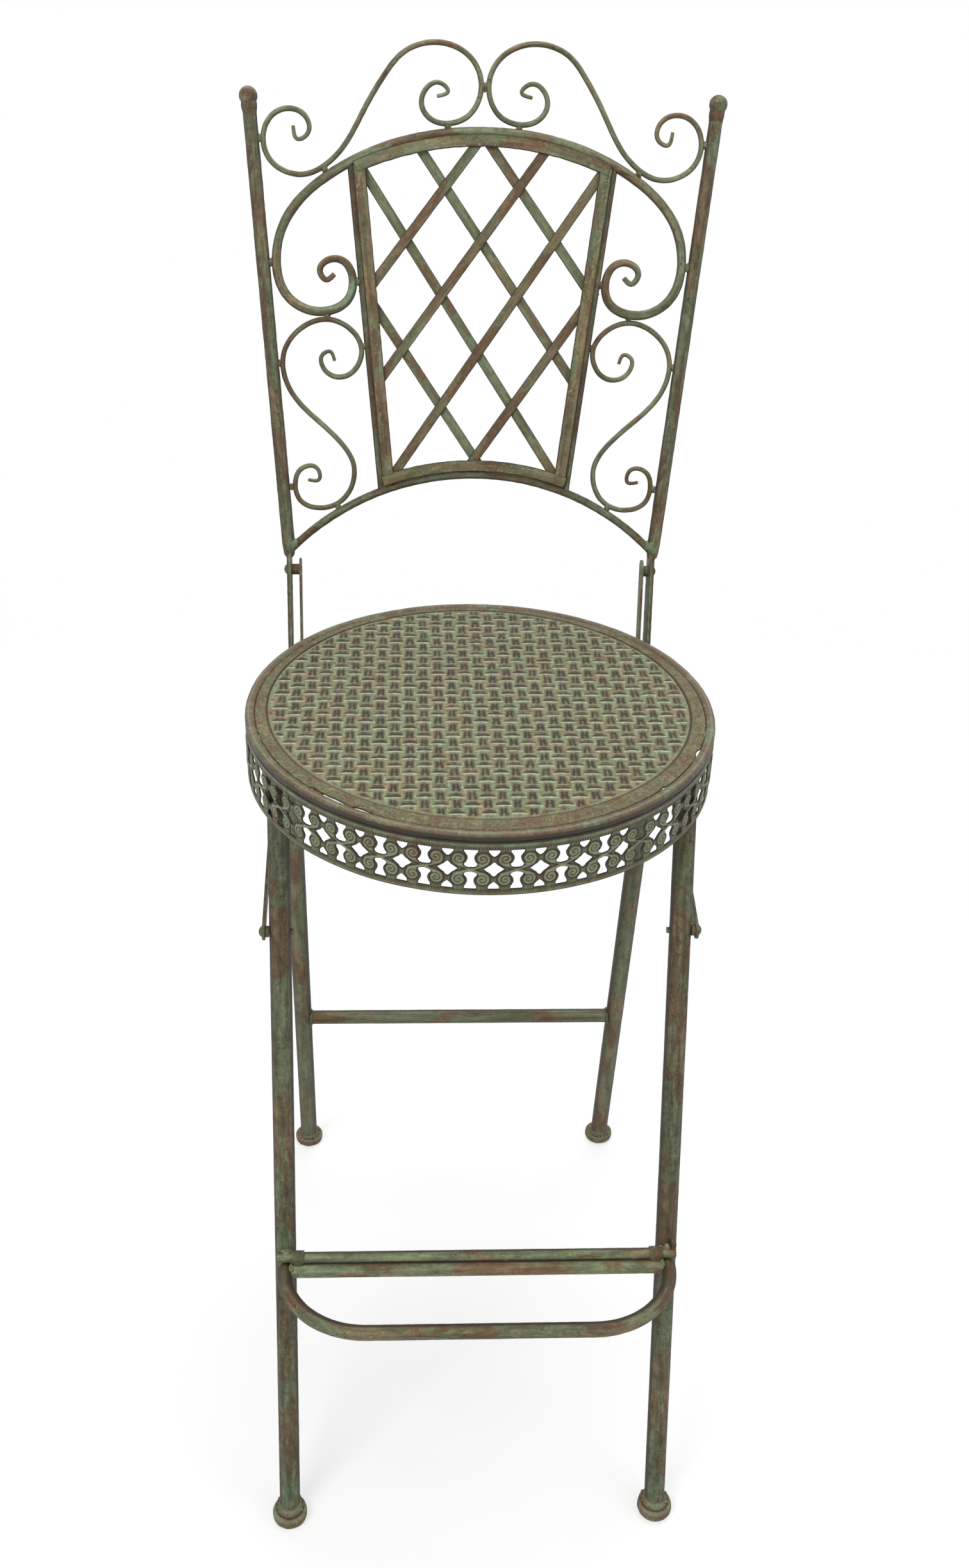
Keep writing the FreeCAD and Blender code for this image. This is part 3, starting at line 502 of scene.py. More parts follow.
ARCH_HALF = [
    (-137.0, 283.0), (-143.0, 279.1), (-149.1, 287.1), (-142.8, 296.1), (-127.3, 295.8),
    (-118.4, 277.0), (-124.1, 260.4), (-140.8, 251.6), (-160.6, 252.3), (-180.8, 266.0),
    (-189.5, 296.0), (-181.0, 330.7), (-163.4, 353.3), (-140.0, 371.4), (-100.0, 391.8),
    (-60.0, 403.6), (0.0, 409.4),
]
SIDE_SCROLL = [
    (-135.8, 207.9), (-139.6, 214.6), (-147.0, 211.3), (-146.5, 200.7), (-139.7, 193.5),
    (-124.5, 192.4), (-112.7, 203.4), (-110.2, 219.0), (-122.3, 236.5), (-142.8, 243.8),
    (-167.6, 234.9), (-183.1, 213.1), (-181.3, 187.5), (-169.5, 168.0), (-149.5, 149.3),
    (-129.6, 130.6), (-117.2, 110.9), (-117.7, 91.0), (-129.4, 74.0), (-148.3, 67.7),
    (-167.7, 74.3), (-173.0, 92.0), (-166.5, 105.5), (-151.8, 105.5), (-150.4, 94.7),
    (-158.7, 94.3),
]
CREST_SCROLL = [
    (-41.5, 439.0), (-33.4, 442.8), (-39.9, 449.6), (-52.1, 446.1), (-57.1, 431.1),
    (-48.7, 419.5), (-31.7, 416.0), (-13.4, 423.6), (-4.1, 440.7), (-4.0, 453.3),
    (-11.9, 469.3), (-30.5, 481.0), (-53.7, 482.6), (-75.6, 473.5), (-90.0, 457.2),
    (-109.3, 426.3), (-128.1, 394.6), (-142.3, 380.5), (-161.8, 371.1), (-179.3, 372.6),
    (-195.4, 383.9), (-200.5, 403.0), (-191.9, 420.7), (-174.9, 426.2), (-160.8, 417.9),
    (-160.8, 404.7), (-169.8, 400.8), (-173.2, 410.0),
]
LOWER_ARCH_RADIUS, LOWER_ARCH_CENTRE = 251.0, -150.3


def taper(line, body, tip, run):
    """Radius along a line that thins towards both tips over the given run."""
    along = length_along(line)
    part = np.clip(np.minimum(along, along[-1] - along) / run, 0, 1)
    return tip + (body - tip) * (part * (2 - part))


def arc(radius, centre, half_width, count):
    """Points x and s of an arc across the back."""
    half = math.asin(half_width / radius)
    bearing = np.linspace(-half, half, count)
    return radius * np.sin(bearing), centre + radius * np.cos(bearing)


def upright_x(s):
    return 177.2 + 0.0835 * s


arch = spline(ARCH_HALF + [(-x, s) for x, s in ARCH_HALF[-2::-1]])
path = on_back(*arch.T)
bar(Shell(), path, taper(path, 4.25, 2.3, 120.0), 11, 22, "cut", "cut", BACK_NORMAL, 0.03).build(
    "arch_with_scrolls", "scrolls", BACKREST, "main_arch_scroll")

for side, sign in LEFT_RIGHT:
    for name, points, seed in (
        ("crest_scroll", CREST_SCROLL, 21), ("side_scroll", SIDE_SCROLL, 31),
    ):
        path = on_back(*spline([(-sign * x, s) for x, s in points], 1.3).T)
        bar(Shell(), path, taper(path, 2.43, 1.6, 60.0), seed - sign, 16, "cut", "cut",
            BACK_NORMAL, 0.035).build(
            f"{name}_{side}_forged", "scrolls", BACKREST, f"{name}_{side}")

path = on_back(*arc(LOWER_ARCH_RADIUS, LOWER_ARCH_CENTRE, 177.0, 240))
bar(Shell(), path, 3.75, 41, side=BACK_NORMAL, rough=0.03).build(
    "lower_arch_forged", "bars", BACKREST, "lower_arch_bar")

NECK_RADIUS = [6.3, 6.4, 6.6, 6.9, 7.1, 7.2, 7.2, 7.0, 6.8, 6.5, 6.2, 5.6]
for side, sign in LEFT_RIGHT:
    s = np.linspace(24.0, 428.0, 200)
    radius = 6.3 - 0.9 * np.clip((34 - s) / 10, 0, 1)
    path = on_back(sign * upright_x(s), s)
    bar(Shell(), path, radius, 51 + sign, 24, "round", "open", BACK_NORMAL).build(
        f"upright_{side}_round_bar", "bars", REAR_FRAME, f"back_upright_{side}")

    low, top = (on_back(sign * upright_x(s), s) for s in (421.0, 436.0))
    shell = blob(Shell(), top, (8.5, 8.5, 8.5), 60 + sign, lump=0.012)
    neck = low + (top - low) * np.linspace(0, 1, len(NECK_RADIUS))[:, None]
    bar(shell, neck, NECK_RADIUS, 65 + sign, 24, side=BACK_NORMAL, rough=0.03)
    shell.build(f"finial_ball_{side}", "bars", REAR_FRAME)
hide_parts("finials")

# Back: flat bars down to the rear legs, each where the photo has it

for (side, sign), x in zip(LEFT_RIGHT, (-181.4, 175.7)):
    path = in_back_plane(x, np.linspace(-232.0, 25.0, 90))
    # Painted shade on the corners; the narrow sides darken next to the outer face and lighten next
    # to the inner one, painted shade and a painted highlight
    strap(Shell(), path, (sign, 0, 0), 25.0, 4.2, 71 + sign, 0.9, 0.8, edge_shade_tone=0.3,
          side_shading_tones=(0.26, 0.68), rough=0.1).build(
        f"flat_bar_{side}", "flat_bars", REAR_FRAME, f"back_bar_{side}")

# Back: lattice panel

EDGE_SLOPE = (124.2 - 93.3) / (380.0 - 90.0)
STRIP_SLOPE = (107.7 - 78.7) / (378.0 - 106.0)
STRAP_RUNS = [
    ((-96.7, 280.0), (-6.7, 398.0)),
    ((-87.0, 196.0), (57.5, 394.0)),
    ((-73.8, 107.0), (107.8, 372.0)),
    ((-0.5, 116.0), (101.0, 260.0)),
]


def edge_x(s):
    return 93.3 + EDGE_SLOPE * (s - 90.0)


def strip_x(s):
    return 78.7 + STRIP_SLOPE * (s - 106.0)


crown = arch[(arch[:, 1] > 345) & (np.abs(arch[:, 0]) < 170)]
crown = crown[np.argsort(crown[:, 0])]


def inside_panel(x, s):
    return (
        abs(x) < edge_x(s) - 3.0 and s < np.interp(x, *crown.T) - 1.0
        and math.hypot(x, s - LOWER_ARCH_CENTRE) > LOWER_ARCH_RADIUS + 1.0
    )


def panel_run(start, end):
    """The ends of a strap through two points: where it meets the panel's border."""
    a, b = np.array(start), np.array(end)
    heading = (b - a) / np.linalg.norm(b - a)
    middle = (a + b) / 2
    ends = []
    for sign in (-1, 1):
        reach = 0.0
        while inside_panel(*(middle + sign * heading * (reach + 0.5))):
            reach += 0.5
        ends.append(middle + sign * heading * reach)
    return ends


for layer, sign, n, seed in (("front", 1, 1.3, 81), ("back", -1, -1.3, 91)):
    shell = Shell()
    for i, run in enumerate(STRAP_RUNS):
        a, b = panel_run(*run)
        flat = a + (b - a) * np.linspace(0, 1, 60)[:, None]
        # Each strap keeps painted shade on its corners and narrow sides
        strap(shell, on_back(sign * flat[:, 0], flat[:, 1], n), BACK_NORMAL, 9.0, 2.6, seed + i,
              corner=0.45)
    shell.build(f"lattice_straps_{layer}", f"{layer}_straps", BACKREST, f"lattice_{layer}_straps")

squares = Shell()
strips = Shell()
for sign in (-1, 1):
    s = np.linspace(84.0, 383.0, 80)
    # Painted shade on the corners of the square bars and of the strips
    strap(squares, on_back(sign * (edge_x(s) - 3.0), s), BACK_NORMAL, 6.0, 5.5, 101 + sign,
          corner=0.7, edge_shade_tone=0.1, face_tone=0.42)
    s = np.linspace(98.5, 380.0, 80)
    strap(strips, on_back(sign * (strip_x(s) + 5.6), s, 4.0), BACK_NORMAL, 11.2, 3.0, 111 + sign,
          edge_shade_tone=0.2, rough=0.03)
squares.build("panel_square_bars", "bars", BACKREST, "panel_side_bars")
strips.build("panel_strips_side", "strips", BACKREST, "panel_side_strips")

for end, centre, radius, half_width, seed in (
    ("top", 109.4, 292.5, 117.0, 121), ("bottom", LOWER_ARCH_CENTRE, 260.0, 88.5, 131),
):
    path = on_back(*arc(radius, centre, half_width, 160), 4.1)
    # Painted shade on the strip's corners
    strap(Shell(), path, BACK_NORMAL, 10.6, 3.0, seed, edge_shade_tone=0.2, rough=0.04).build(
        f"panel_strip_{end}", "strips", BACKREST, f"panel_{end}_strip")

# Back: weld beads, by x, s and radius on the left half

BEADS = [
    (-195.0, 294.0, 3.8), (-113.6, 278.0, 3.6), (-144.5, 375.2, 3.4), (-204.0, 401.0, 3.4),
    (-32.5, 412.8, 3.4), (-142.5, 247.2, 3.3), (-107.8, 220.0, 3.0), (-186.4, 203.5, 3.3),
    (-176.8, 88.0, 3.2), (-131.5, 70.3, 3.4),
]
BACK_AXES = np.array([(1, 0, 0), (0, math.sin(BACK_TILT), math.cos(BACK_TILT)), BACK_NORMAL])
beads = Shell()
for i, (x, s, radius) in enumerate(BEADS):
    for sign in (1, -1):
        blob(beads, on_back(sign * x, s, 0.6), radius * np.array([0.85, 1.0, 0.75]),
             140 + 7 * i + sign, axes=BACK_AXES)
blob(beads, on_back(0.0, 447.0, 0.4), (3.0, 4.2, 2.8), 230, axes=BACK_AXES)
junctions = Shell()
for sign in (1, -1):
    for x, s, n, radii, seed, lump in (
        (178.6, 31.0, 0.6, (5.4, 8.4, 6.2), 233, 0.08),
        (173.4, 33.0, 0.3, (4.2, 4.8, 4.1), 236, 0.12),
    ):
        blob(junctions, on_back(sign * x, s, n), radii, seed + sign, lump=lump, axes=BACK_AXES)
beads.build("weld_beads_back", "welds", BACKREST)
junctions.build("junction_welds", "junctions", BACKREST)

# Legs, feet and crossbar

# x, y at the floor and lean of the legs' axes
FRONT_LEG = (182.2, -313.1, 0.3277)
REAR_LEG = (184.85, 217.4, -0.1464)
for side, sign in LEFT_RIGHT:
    for name, (x, foot_y, lean), top, seed, paint, home in (
        ("front", FRONT_LEG, 722.0, 301, "legs", FRONT_FRAME),
        ("rear", REAR_LEG, 663.0, 311, "rear_legs", REAR_FRAME),
    ):
        z = np.arange(8.0, top, 3.0)
        path = np.column_stack([sign * x + 0 * z, foot_y + lean * z, z])
        bar(Shell(), path, 10.0, seed + sign, 32, "open", "cut", (1, 0, 0), 0.006).build(
            f"{name}_leg_{side}_tube", paint, home, f"{name}_leg_{side}")

# Radius, z and tone of a foot, from its underside to the leg
FOOT_PROFILE = [
    (0.0, 0.0, 0.3), (11.0, 0.0, 0.3), (12.6, 0.3, 0.35), (14.4, 1.2, 0.4), (15.7, 2.6, 0.45),
    (16.3, 4.4, 0.5), (16.5, 7.0, 0.5), (16.3, 9.6, 0.55), (15.6, 11.2, 0.66), (14.4, 12.0, 0.62),
    (13.3, 12.0, 0.4), (12.6, 11.5, 0.18), (12.2, 12.2, 0.3), (11.4, 13.0, 0.62),
    (10.6, 14.6, 0.64), (10.1, 16.5, 0.56), (9.4, 18.0, 0.5),
]
CRUMBS = 15
for name, (x, foot_y, lean), widest, home in (
    ("front", FRONT_LEG, 17.05, FRONT_FRAME), ("rear", REAR_LEG, 16.8, REAR_FRAME),
):
    shell = Shell()
    profile = [(r * (widest / 16.5), z) for r, z, _ in FOOT_PROFILE]
    for i, sign in enumerate((-1, 1)):
        lathe(shell, profile, 64, 320 + i, 0.12, [tone for _, _, tone in FOOT_PROFILE], 9.0,
              centre=(sign * x, foot_y))
        # The neck follows the leg's lean; the paint shares these coordinates
        co = shell.co[-1]
        co[:, 1] += lean * co[:, 2] * np.clip((co[:, 2] - 10.0) / 4.0, 0, 1)
        for k, bearing in enumerate(turns(CRUMBS)):
            crumb = (
                sign * x + 12.1 * math.cos(bearing),
                foot_y + lean * 12.6 + 12.1 * math.sin(bearing), 12.2,
            )
            blob(shell, crumb, (2.2, 2.2, 1.3), 500 + 20 * i + k, 0.56, 0.22)
    shell.build(f"{name}_foot_discs", "feet", home, f"{name}_feet")


def level_line(half_length, count, y, z):
    x = np.linspace(-half_length, half_length, count)
    return np.column_stack([x, y + 0 * x, z + 0 * x])


CROSSBAR_Z = 227.5
cross_y = REAR_LEG[1] + REAR_LEG[2] * CROSSBAR_Z
shell = bar(Shell(), level_line(176.0, 120, cross_y, CROSSBAR_Z), 8.0, 331, 28, rough=0.012)
for sign in (-1, 1):
    for bearing in turns(28):
        y, z = cross_y + 8.2 * math.cos(bearing), CROSSBAR_Z + 8.2 * math.sin(bearing)
        blob(shell, (sign * 175.4, y, z), (1.7, 1.5, 1.5), 340 + int(bearing * 10) + sign, 0.45,
             0.25)
shell.build("rear_crossbar_tube", "rear_legs", REAR_FRAME, "rear_crossbar")

# Footrest: the fixed rod, then the hinged loop and its rear bar

ROD_Y, ROD_Z = -235.6, 284.0
LOOP_Y, LOOP_Z = -241.9, 273.2
LOOP_HALF_WIDTH = 182.2
shell = bar(Shell(), level_line(187.5, 130, ROD_Y, ROD_Z), 5.0, 351, 22, "cut", "cut", rough=0.015)
for sign in (-1, 1):
    for x, y, z, radii, seed, tone in (
        (181.0, 3.2, 2.0, (6.4, 4.6, 4.2), 355, 0.5), (175.6, 2.8, 2.6, (4.0, 3.1, 3.1), 358, 0.52),
    ):
        blob(shell, (sign * x, ROD_Y + y, ROD_Z + z), radii, seed + sign, tone)
shell.build("footrest_rod_welded", "footrest", FRONT_FRAME, "footrest_rod")

corner = np.linspace(0, math.pi / 2, 40)
right = np.column_stack([104.2 + 78 * np.cos(corner), -242.8 - 73 * np.sin(corner)])
loop = np.concatenate([
    [(LOOP_HALF_WIDTH, LOOP_Y)], right, right[::-1] * (-1, 1), [(-LOOP_HALF_WIDTH, LOOP_Y)],
])
loop = even(np.column_stack([loop, LOOP_Z + 0 * loop[:, 0]]), 2.0)
bar(Shell(), loop, 7.0, 361, 26, "round", "round", rough=0.012).build(
    "footrest_tube_loop", "loop", FOOTREST, "footrest_loop")

shell = bar(Shell(), level_line(178.0, 120, LOOP_Y, LOOP_Z), 7.0, 371, 26, rough=0.012)
for sign in (-1, 1):
    for i, bearing in enumerate(np.linspace(0.2, 2.9, 9)):
        y, z = LOOP_Y - 6.6 * math.cos(bearing), LOOP_Z + 6.6 * math.sin(bearing)
        blob(shell, (sign * 175.4, y, z), (1.8, 1.5, 1.5), 375 + i + 20 * sign, lump=0.25)
shell.build("footrest_tube_rear", "footrest", FOOTREST, "footrest_rear_bar")

# Seat plate: woven relief inside a plain pitted rim

PLATE_TOP = 746.6
PLATE_RADIUS = 204.0
FIELD_X, FIELD_Y = -1.0, 5.0
FIELD_RADIUS = 194.0
# Half the pitch of the weave
HALF_X, HALF_Y = 13.1, 12.65


def bell(value, width):
    return np.exp(-(value / width) ** 2)


def window(value, low, high, soft):
    """1 between low and high, with soft sides."""
    rise = np.tanh((value - low) / (2 * soft))
    fall = np.tanh((value - high) / (2 * soft))
    return 0.25 * (1 + rise) * (1 - fall)


def hashed(i, j, seed):
    """A fixed pseudo-random number from 0 to 1 for each cell."""
    v = np.sin(i * 127.1 + j * 311.7 + seed * 74.7) * 43758.5453
    return v - np.floor(v)


def woven(x, y):
    """Height in mm and tone of the pressed basket weave at plate coordinates."""
    # Columns lean a little, and rows spread towards the rear
    lean = 0.014 * (y + 104.0)
    u = (x + 14.2 - lean + 0.5 * ripple(5, 90.0, x, y)) / HALF_X
    v = (y + 78.0 - 0.04 * np.clip(y, 0, 200) + 0.5 * ripple(6, 80.0, x, y)) / HALF_Y
    height = np.zeros_like(x)
    tone = np.full_like(x, 0.52)
    for di in (-1, 0, 1):
        for dj in (-1, 0, 1):
            i = np.round(u) + di
            j = np.round(v) + dj
            well = (np.mod(i + j, 2) == 0)
            n1, n2, n3, n4 = (hashed(i, j, k) for k in (1, 2, 3, 4))
            a = (u - i) * HALF_X + 0.9 * (n1 - 0.5)
            b = (v - j) * HALF_Y + 0.9 * (n2 - 0.5)
            strength = 0.7 + 0.6 * n3
            # A horizontal strand: pale arched lip in front, dark lens on top
            arched = 1 - (a / 7.6) ** 2
            lip = bell(b + 4.4 - 1.1 * arched, 0.62) * window(a, -7.0, 7.0, 0.6)
            top = bell(b - 4.2 - 0.5 * arched, 0.5) * window(a, -5.6, 5.6, 0.6)
            lens = bell(b + 1.5 - 2.2 * arched, 0.8 + 1.4 * np.clip(arched, 0, 1))
            lens = lens * window(a, -6.2, 6.2, 0.6)
            hair = bell(b - 2.4 - 1.2 * arched + 0.8 * (n4 - 0.5), 0.45) * window(a, -5.5, 5.5, 0.5)
            inside = window(a, -7.6, 7.6, 0.35) * window(b, -5.0, 5.0, 0.35)
            strand_height = 0.9 * lip + 0.25 * top - 0.75 * strength * lens + 0.25 * inside
            strand_tone = 0.50 * lip + 0.18 * top - 0.50 * strength * lens - 0.30 * hair
            # A well between them: two dark dents that spread towards the front
            fall = np.clip((6.6 - b) / 12.5, 0, 1)
            spread = 1.5 + 1.0 * fall ** (0.8 + 1.4 * n4)
            tilt = (n1 - 0.5) * 1.2 * (fall - 0.5)
            dent = np.maximum(bell(a + tilt - spread, 0.8), bell(a + tilt + spread, 0.8))
            dent = dent * window(b, -5.6, 6.0, 0.6)
            bridge = bell(b - 0.6 - 3.0 * (n2 - 0.5), 1.0) * bell(a, 1.3) * (n3 > 0.4)
            dent = np.clip(dent + 0.7 * bridge, 0, 1)
            cheek = np.maximum(bell(a - 5.3, 0.55), bell(a + 5.3, 0.55))
            cheek = cheek * window(b, -4.0, 6.4, 0.6)
            bed = window(a, -4.6, 4.6, 0.5) * window(b, -6.2, 6.4, 0.5)
            well_height = 0.55 * cheek - 0.65 * strength * dent - 0.30 * bed
            well_tone = 0.20 * cheek - 0.48 * strength * dent - 0.17 * bed
            height += np.where(well, well_height, strand_height)
            tone += np.where(well, well_tone, strand_tone)
    tone += 0.06 * ripple(7, 7.0, x, y) + 0.07 * ripple(9, 2.6, x, y)
    return height, np.clip(tone, 0.02, 0.98)


# The field is a square grid, 1 mm apart, cut round
reach = FIELD_RADIUS + 3
X, Y = np.meshgrid(FIELD_X + np.arange(-reach, reach + 1), FIELD_Y + np.arange(-reach, reach + 1))
radial = np.hypot(X - FIELD_X, Y - FIELD_Y)
height, tone = woven(X, Y)
inner = np.clip((FIELD_RADIUS - 1.2 - radial) / 3.0, 0, 1)
height = height * inner - 1.3 * np.clip((radial - FIELD_RADIUS + 1.0) / 1.2, 0, 1)
tone = 0.58 + (tone - 0.58) * inner - 0.5 * np.clip((radial - FIELD_RADIUS + 0.8) / 1.0, 0, 1)
sag = 0.35 * ripple(8, 170.0, X, Y)
Z = PLATE_TOP - 0.35 + height * 0.8 + sag * np.clip((FIELD_RADIUS - radial) / 60.0, 0, 1)
keep = radial < FIELD_RADIUS + 1.6
index = -np.ones(X.shape, int)
index[keep] = np.arange(keep.sum())
quads = np.stack(corners_of(index), axis=-1).reshape(-1, 4)
quads = quads[(quads >= 0).all(axis=1)]
field = np.column_stack([X[keep], Y[keep], Z[keep]])
shell = Shell().add(field, field, np.clip(tone[keep], 0.02, 0.98), quads)
underside = [(r, 744.8 + 0.25 * math.cos(r / 4.0)) for r in np.linspace(204.0, 1.0, 60)]
lathe(shell, underside, 180, 14)
shell.build("seat_weave_plate", "seat", SEAT, "seat_plate")

# The rim meets the ring but for four slots, given by their bearings in degrees
SLOTS = ((-136.5, -126.0), (-123.5, -118.5), (-44.8, -42.8), (-24.8, -22.2))
# Share of the way from field to edge, height and tone of the rim's rings
RIM_STEPS = [
    (0.0, -1.5, 0.08), (0.05, -0.7, 0.15), (0.12, -0.1, 0.35), (0.22, 0.15, 0.55),
    (0.4, 0.2, 0.52), (0.6, 0.15, 0.5), (0.8, 0.05, 0.5), (0.93, 0.0, 0.55), (0.98, -0.3, 0.5),
    (1.0, -0.8, 0.3), (1.0, -2.0, 0.12),
]
SEGMENTS = 840
angle = turns(SEGMENTS)
inner_ring = np.column_stack(
    [FIELD_X + FIELD_RADIUS * np.cos(angle), FIELD_Y + FIELD_RADIUS * np.sin(angle)]
)
bearing = np.arctan2(inner_ring[:, 1], inner_ring[:, 0])
slotted = sum(window(np.degrees(bearing), low, high, 0.25) for low, high in SLOTS)
reach = PLATE_RADIUS + 1.9 * (1 - slotted)
outer_ring = np.column_stack([reach * np.cos(bearing), reach * np.sin(bearing)])
rim, rim_tones = [], []
for part, rise, tone in RIM_STEPS:
    ring = inner_ring + (outer_ring - inner_ring) * part
    rim.append(np.column_stack([ring, PLATE_TOP + rise + 0.14 * ripple(12, 18.0, *ring.T)]))
    rim_tones.append(np.full(SEGMENTS, tone))
Shell().add(rim, rim, rim_tones, grid_faces(len(RIM_STEPS), SEGMENTS)).build(
    "seat_plate_rim", "rim", SEAT)

# Seat ring: flat bar bent round, with a painted highlight on its crown and painted shade below it,
# at the plate and the apron

RING_CENTRE, RING_MIDDLE = 210.5, 743.8
RING_HALF_WIDTH, RING_HALF_HEIGHT = 4.5, 3.5
angle = np.linspace(0, 2 * math.pi, 25)
power = np.where(np.sin(angle) > -0.01, 2.5, 9.0)
swell = 1 / (np.abs(np.cos(angle)) ** power + np.abs(np.sin(angle)) ** power) ** (1 / power)
profile = np.column_stack([
    RING_CENTRE + RING_HALF_WIDTH * swell * np.cos(angle),
    RING_MIDDLE + RING_HALF_HEIGHT * swell * np.sin(angle),
])
# Painted shade on all but the crown, a painted highlight on the crown's outer shoulder and a little
# more painted shade at the outer middle
tones = 0.56 - 0.4 * np.clip((0.55 - np.sin(angle)) / 0.5, 0, 1)
tones = tones + 0.12 * bell(angle - 1.3, 0.2) - 0.15 * bell(angle + 0.5, 0.3)
lathe(Shell(), profile, 420, 16, 0.10, tones, 16.0, 0.08).build(
    "seat_ring_bar", "ring", SEAT, "seat_ring")

# Apron: pierced and pressed sheet, 35 equal units

UNITS = 35
APRON_R = 215.1
APRON_LOW, APRON_HIGH = 687.4, 740.3
UNIT_WIDTH = 2 * math.pi * APRON_R / UNITS
# Half-outlines of the openings: distance from the middle line of the opening, and z
HOURGLASS_UPPER = [
    (5.6, 732.0), (5.7, 730.2), (4.2, 727.8), (2.9, 725.9), (2.6, 724.0), (3.0, 722.2),
    (3.9, 720.2), (5.3, 718.4), (5.6, 717.0), (4.4, 715.6), (2.0, 714.8), (0.0, 714.6),
]
HOURGLASS_LOWER = [
    (0.0, 710.6), (2.6, 710.1), (4.8, 709.1), (5.6, 707.6), (4.5, 705.8), (3.1, 703.9),
    (2.6, 702.0), (2.8, 700.2), (3.8, 698.0), (5.0, 695.6), (5.2, 693.9), (4.8, 693.3),
    (0.0, 693.3),
]
DIAMOND = [
    (0.0, 720.2), (1.5, 718.9), (3.0, 717.0), (6.4, 714.8), (8.5, 712.8), (5.4, 710.3),
    (3.0, 708.4), (1.6, 706.4), (0.0, 705.3),
]
TRIANGLE_UPPER = [(4.8, 732.0), (4.5, 729.4), (2.2, 726.6), (0.0, 725.0)]
TRIANGLE_LOWER = [(0.0, 700.6), (2.4, 698.6), (4.4, 696.0), (4.8, 693.3)]
HALF_UNIT = UNIT_WIDTH / 2
OPENINGS = [(HOURGLASS_UPPER, 0.0), (HOURGLASS_LOWER, 0.0)] + [
    (half, shift) for half in (DIAMOND, TRIANGLE_UPPER, TRIANGLE_LOWER)
    for shift in (-HALF_UNIT, HALF_UNIT)
]
S_LINE = [
    (-13.4, 707.9), (-10.0, 709.3), (-5.0, 710.9), (0.0, 712.7), (5.0, 714.6), (10.0, 716.7),
    (13.4, 718.6),
]
BRANCHES = [
    [(-10.4, 717.2), (-6.8, 716.2), (-3.4, 714.6), (-0.6, 713.2)],
    [(0.6, 712.2), (3.4, 711.0), (6.8, 709.5), (10.4, 708.6)],
]
# Centre, first angle and sense of the four spirals
SPIRALS = [
    (-9.8, 723.3, -1.1, -1), (9.8, 723.3, -2.0, 1), (-9.8, 702.7, 1.1, 1), (9.8, 702.7, 2.0, -1),
]
SPIRAL_TURNS, SPIRAL_OUTER, SPIRAL_INNER = 1.7, 5.9, 0.7
DASHES = 18


def outline(half):
    return [(-w, z) for w, z in half] + [(w, z) for w, z in reversed(half) if w > 0]


def spiral(cx, cz, first, sense):
    t = np.linspace(0, 1, 60)
    a = first + sense * 2 * math.pi * SPIRAL_TURNS * t
    r = SPIRAL_OUTER + (SPIRAL_INNER - SPIRAL_OUTER) * t
    return np.column_stack([cx + r * np.cos(a), cz + r * np.sin(a)])


def line_distance(px, pz, points):
    nearest = np.full(px.shape, 1e9)
    for (x0, z0), (x1, z1) in zip(points[:-1], points[1:]):
        dx, dz = x1 - x0, z1 - z0
        t = np.clip(((px - x0) * dx + (pz - z0) * dz) / (dx * dx + dz * dz), 0, 1)
        nearest = np.minimum(nearest, np.hypot(px - x0 - t * dx, pz - z0 - t * dz))
    return nearest


def polygon_distance(px, pz, corners):
    """Signed distance to a polygon, negative inside."""
    corners = corners + corners[:1]
    inside = np.zeros(px.shape, bool)
    for (x0, z0), (x1, z1) in zip(corners[:-1], corners[1:]):
        if z0 != z1:
            crosses = (z0 > pz) != (z1 > pz)
            inside ^= crosses & (px < x0 + (pz - z0) / (z1 - z0) * (x1 - x0))
    nearest = line_distance(px, pz, corners)
    return np.where(inside, -nearest, nearest)


def opening_gap(px, pz):
    """Signed distance to the nearest opening of a unit."""
    return np.minimum.reduce(
        [polygon_distance(px - shift, pz, outline(half)) for half, shift in OPENINGS])


def pressed(px, pz, gap):
    """Relief height and tone of one unit: raised scrollwork between two dashed borders, with
    painted shade round the openings, in the dashes and under the ring.
    """
    drawn = [spiral(*spec) for spec in SPIRALS] + [S_LINE] + BRANCHES
    ridge = np.minimum.reduce([line_distance(px, pz, points) for points in drawn])
    pattern = window(pz, 694.2, 731.6, 0.35)
    raised = bell(ridge, 0.95) * pattern
    valley = bell(ridge - 1.85, 0.62) * pattern
    flat = window(ridge, 2.6, 99.0, 0.4) * pattern
    # The lip round each opening dips a little and takes painted shade
    lip = bell(gap - 0.2, 0.55)
    height = 0.55 * raised - 0.35 * valley - 0.1 * flat - 0.15 * lip
    tone = 0.47 + 0.25 * raised - 0.50 * valley - 0.08 * flat - 0.42 * lip
    # The dashed borders are shallow dents darkened with painted shade
    dot = np.clip(0.5 + 1.2 * np.cos(px / UNIT_WIDTH * 2 * math.pi * DASHES), 0, 1)
    for level in (733.4, 691.9):
        near = bell(pz - level, 0.85)
        height = height - 0.3 * near * dot
        tone = tone - 0.62 * near * dot + 0.10 * near * (1 - dot)
    for level, depth in ((735.0, 0.16), (690.2, 0.16), (687.5, 0.4)):
        tone = tone - depth * bell(pz - level, 0.5)
    # Painted shadow of the ring along the apron's top
    tone = tone - 0.5 * np.clip((pz - 737.8) / 0.9, 0, 1)
    tone = tone + 0.12 * window(pz, 735.6, 737.6, 0.3) + 0.10 * window(pz, 688.2, 689.9, 0.3)
    return height, np.clip(tone, 0.04, 0.96)


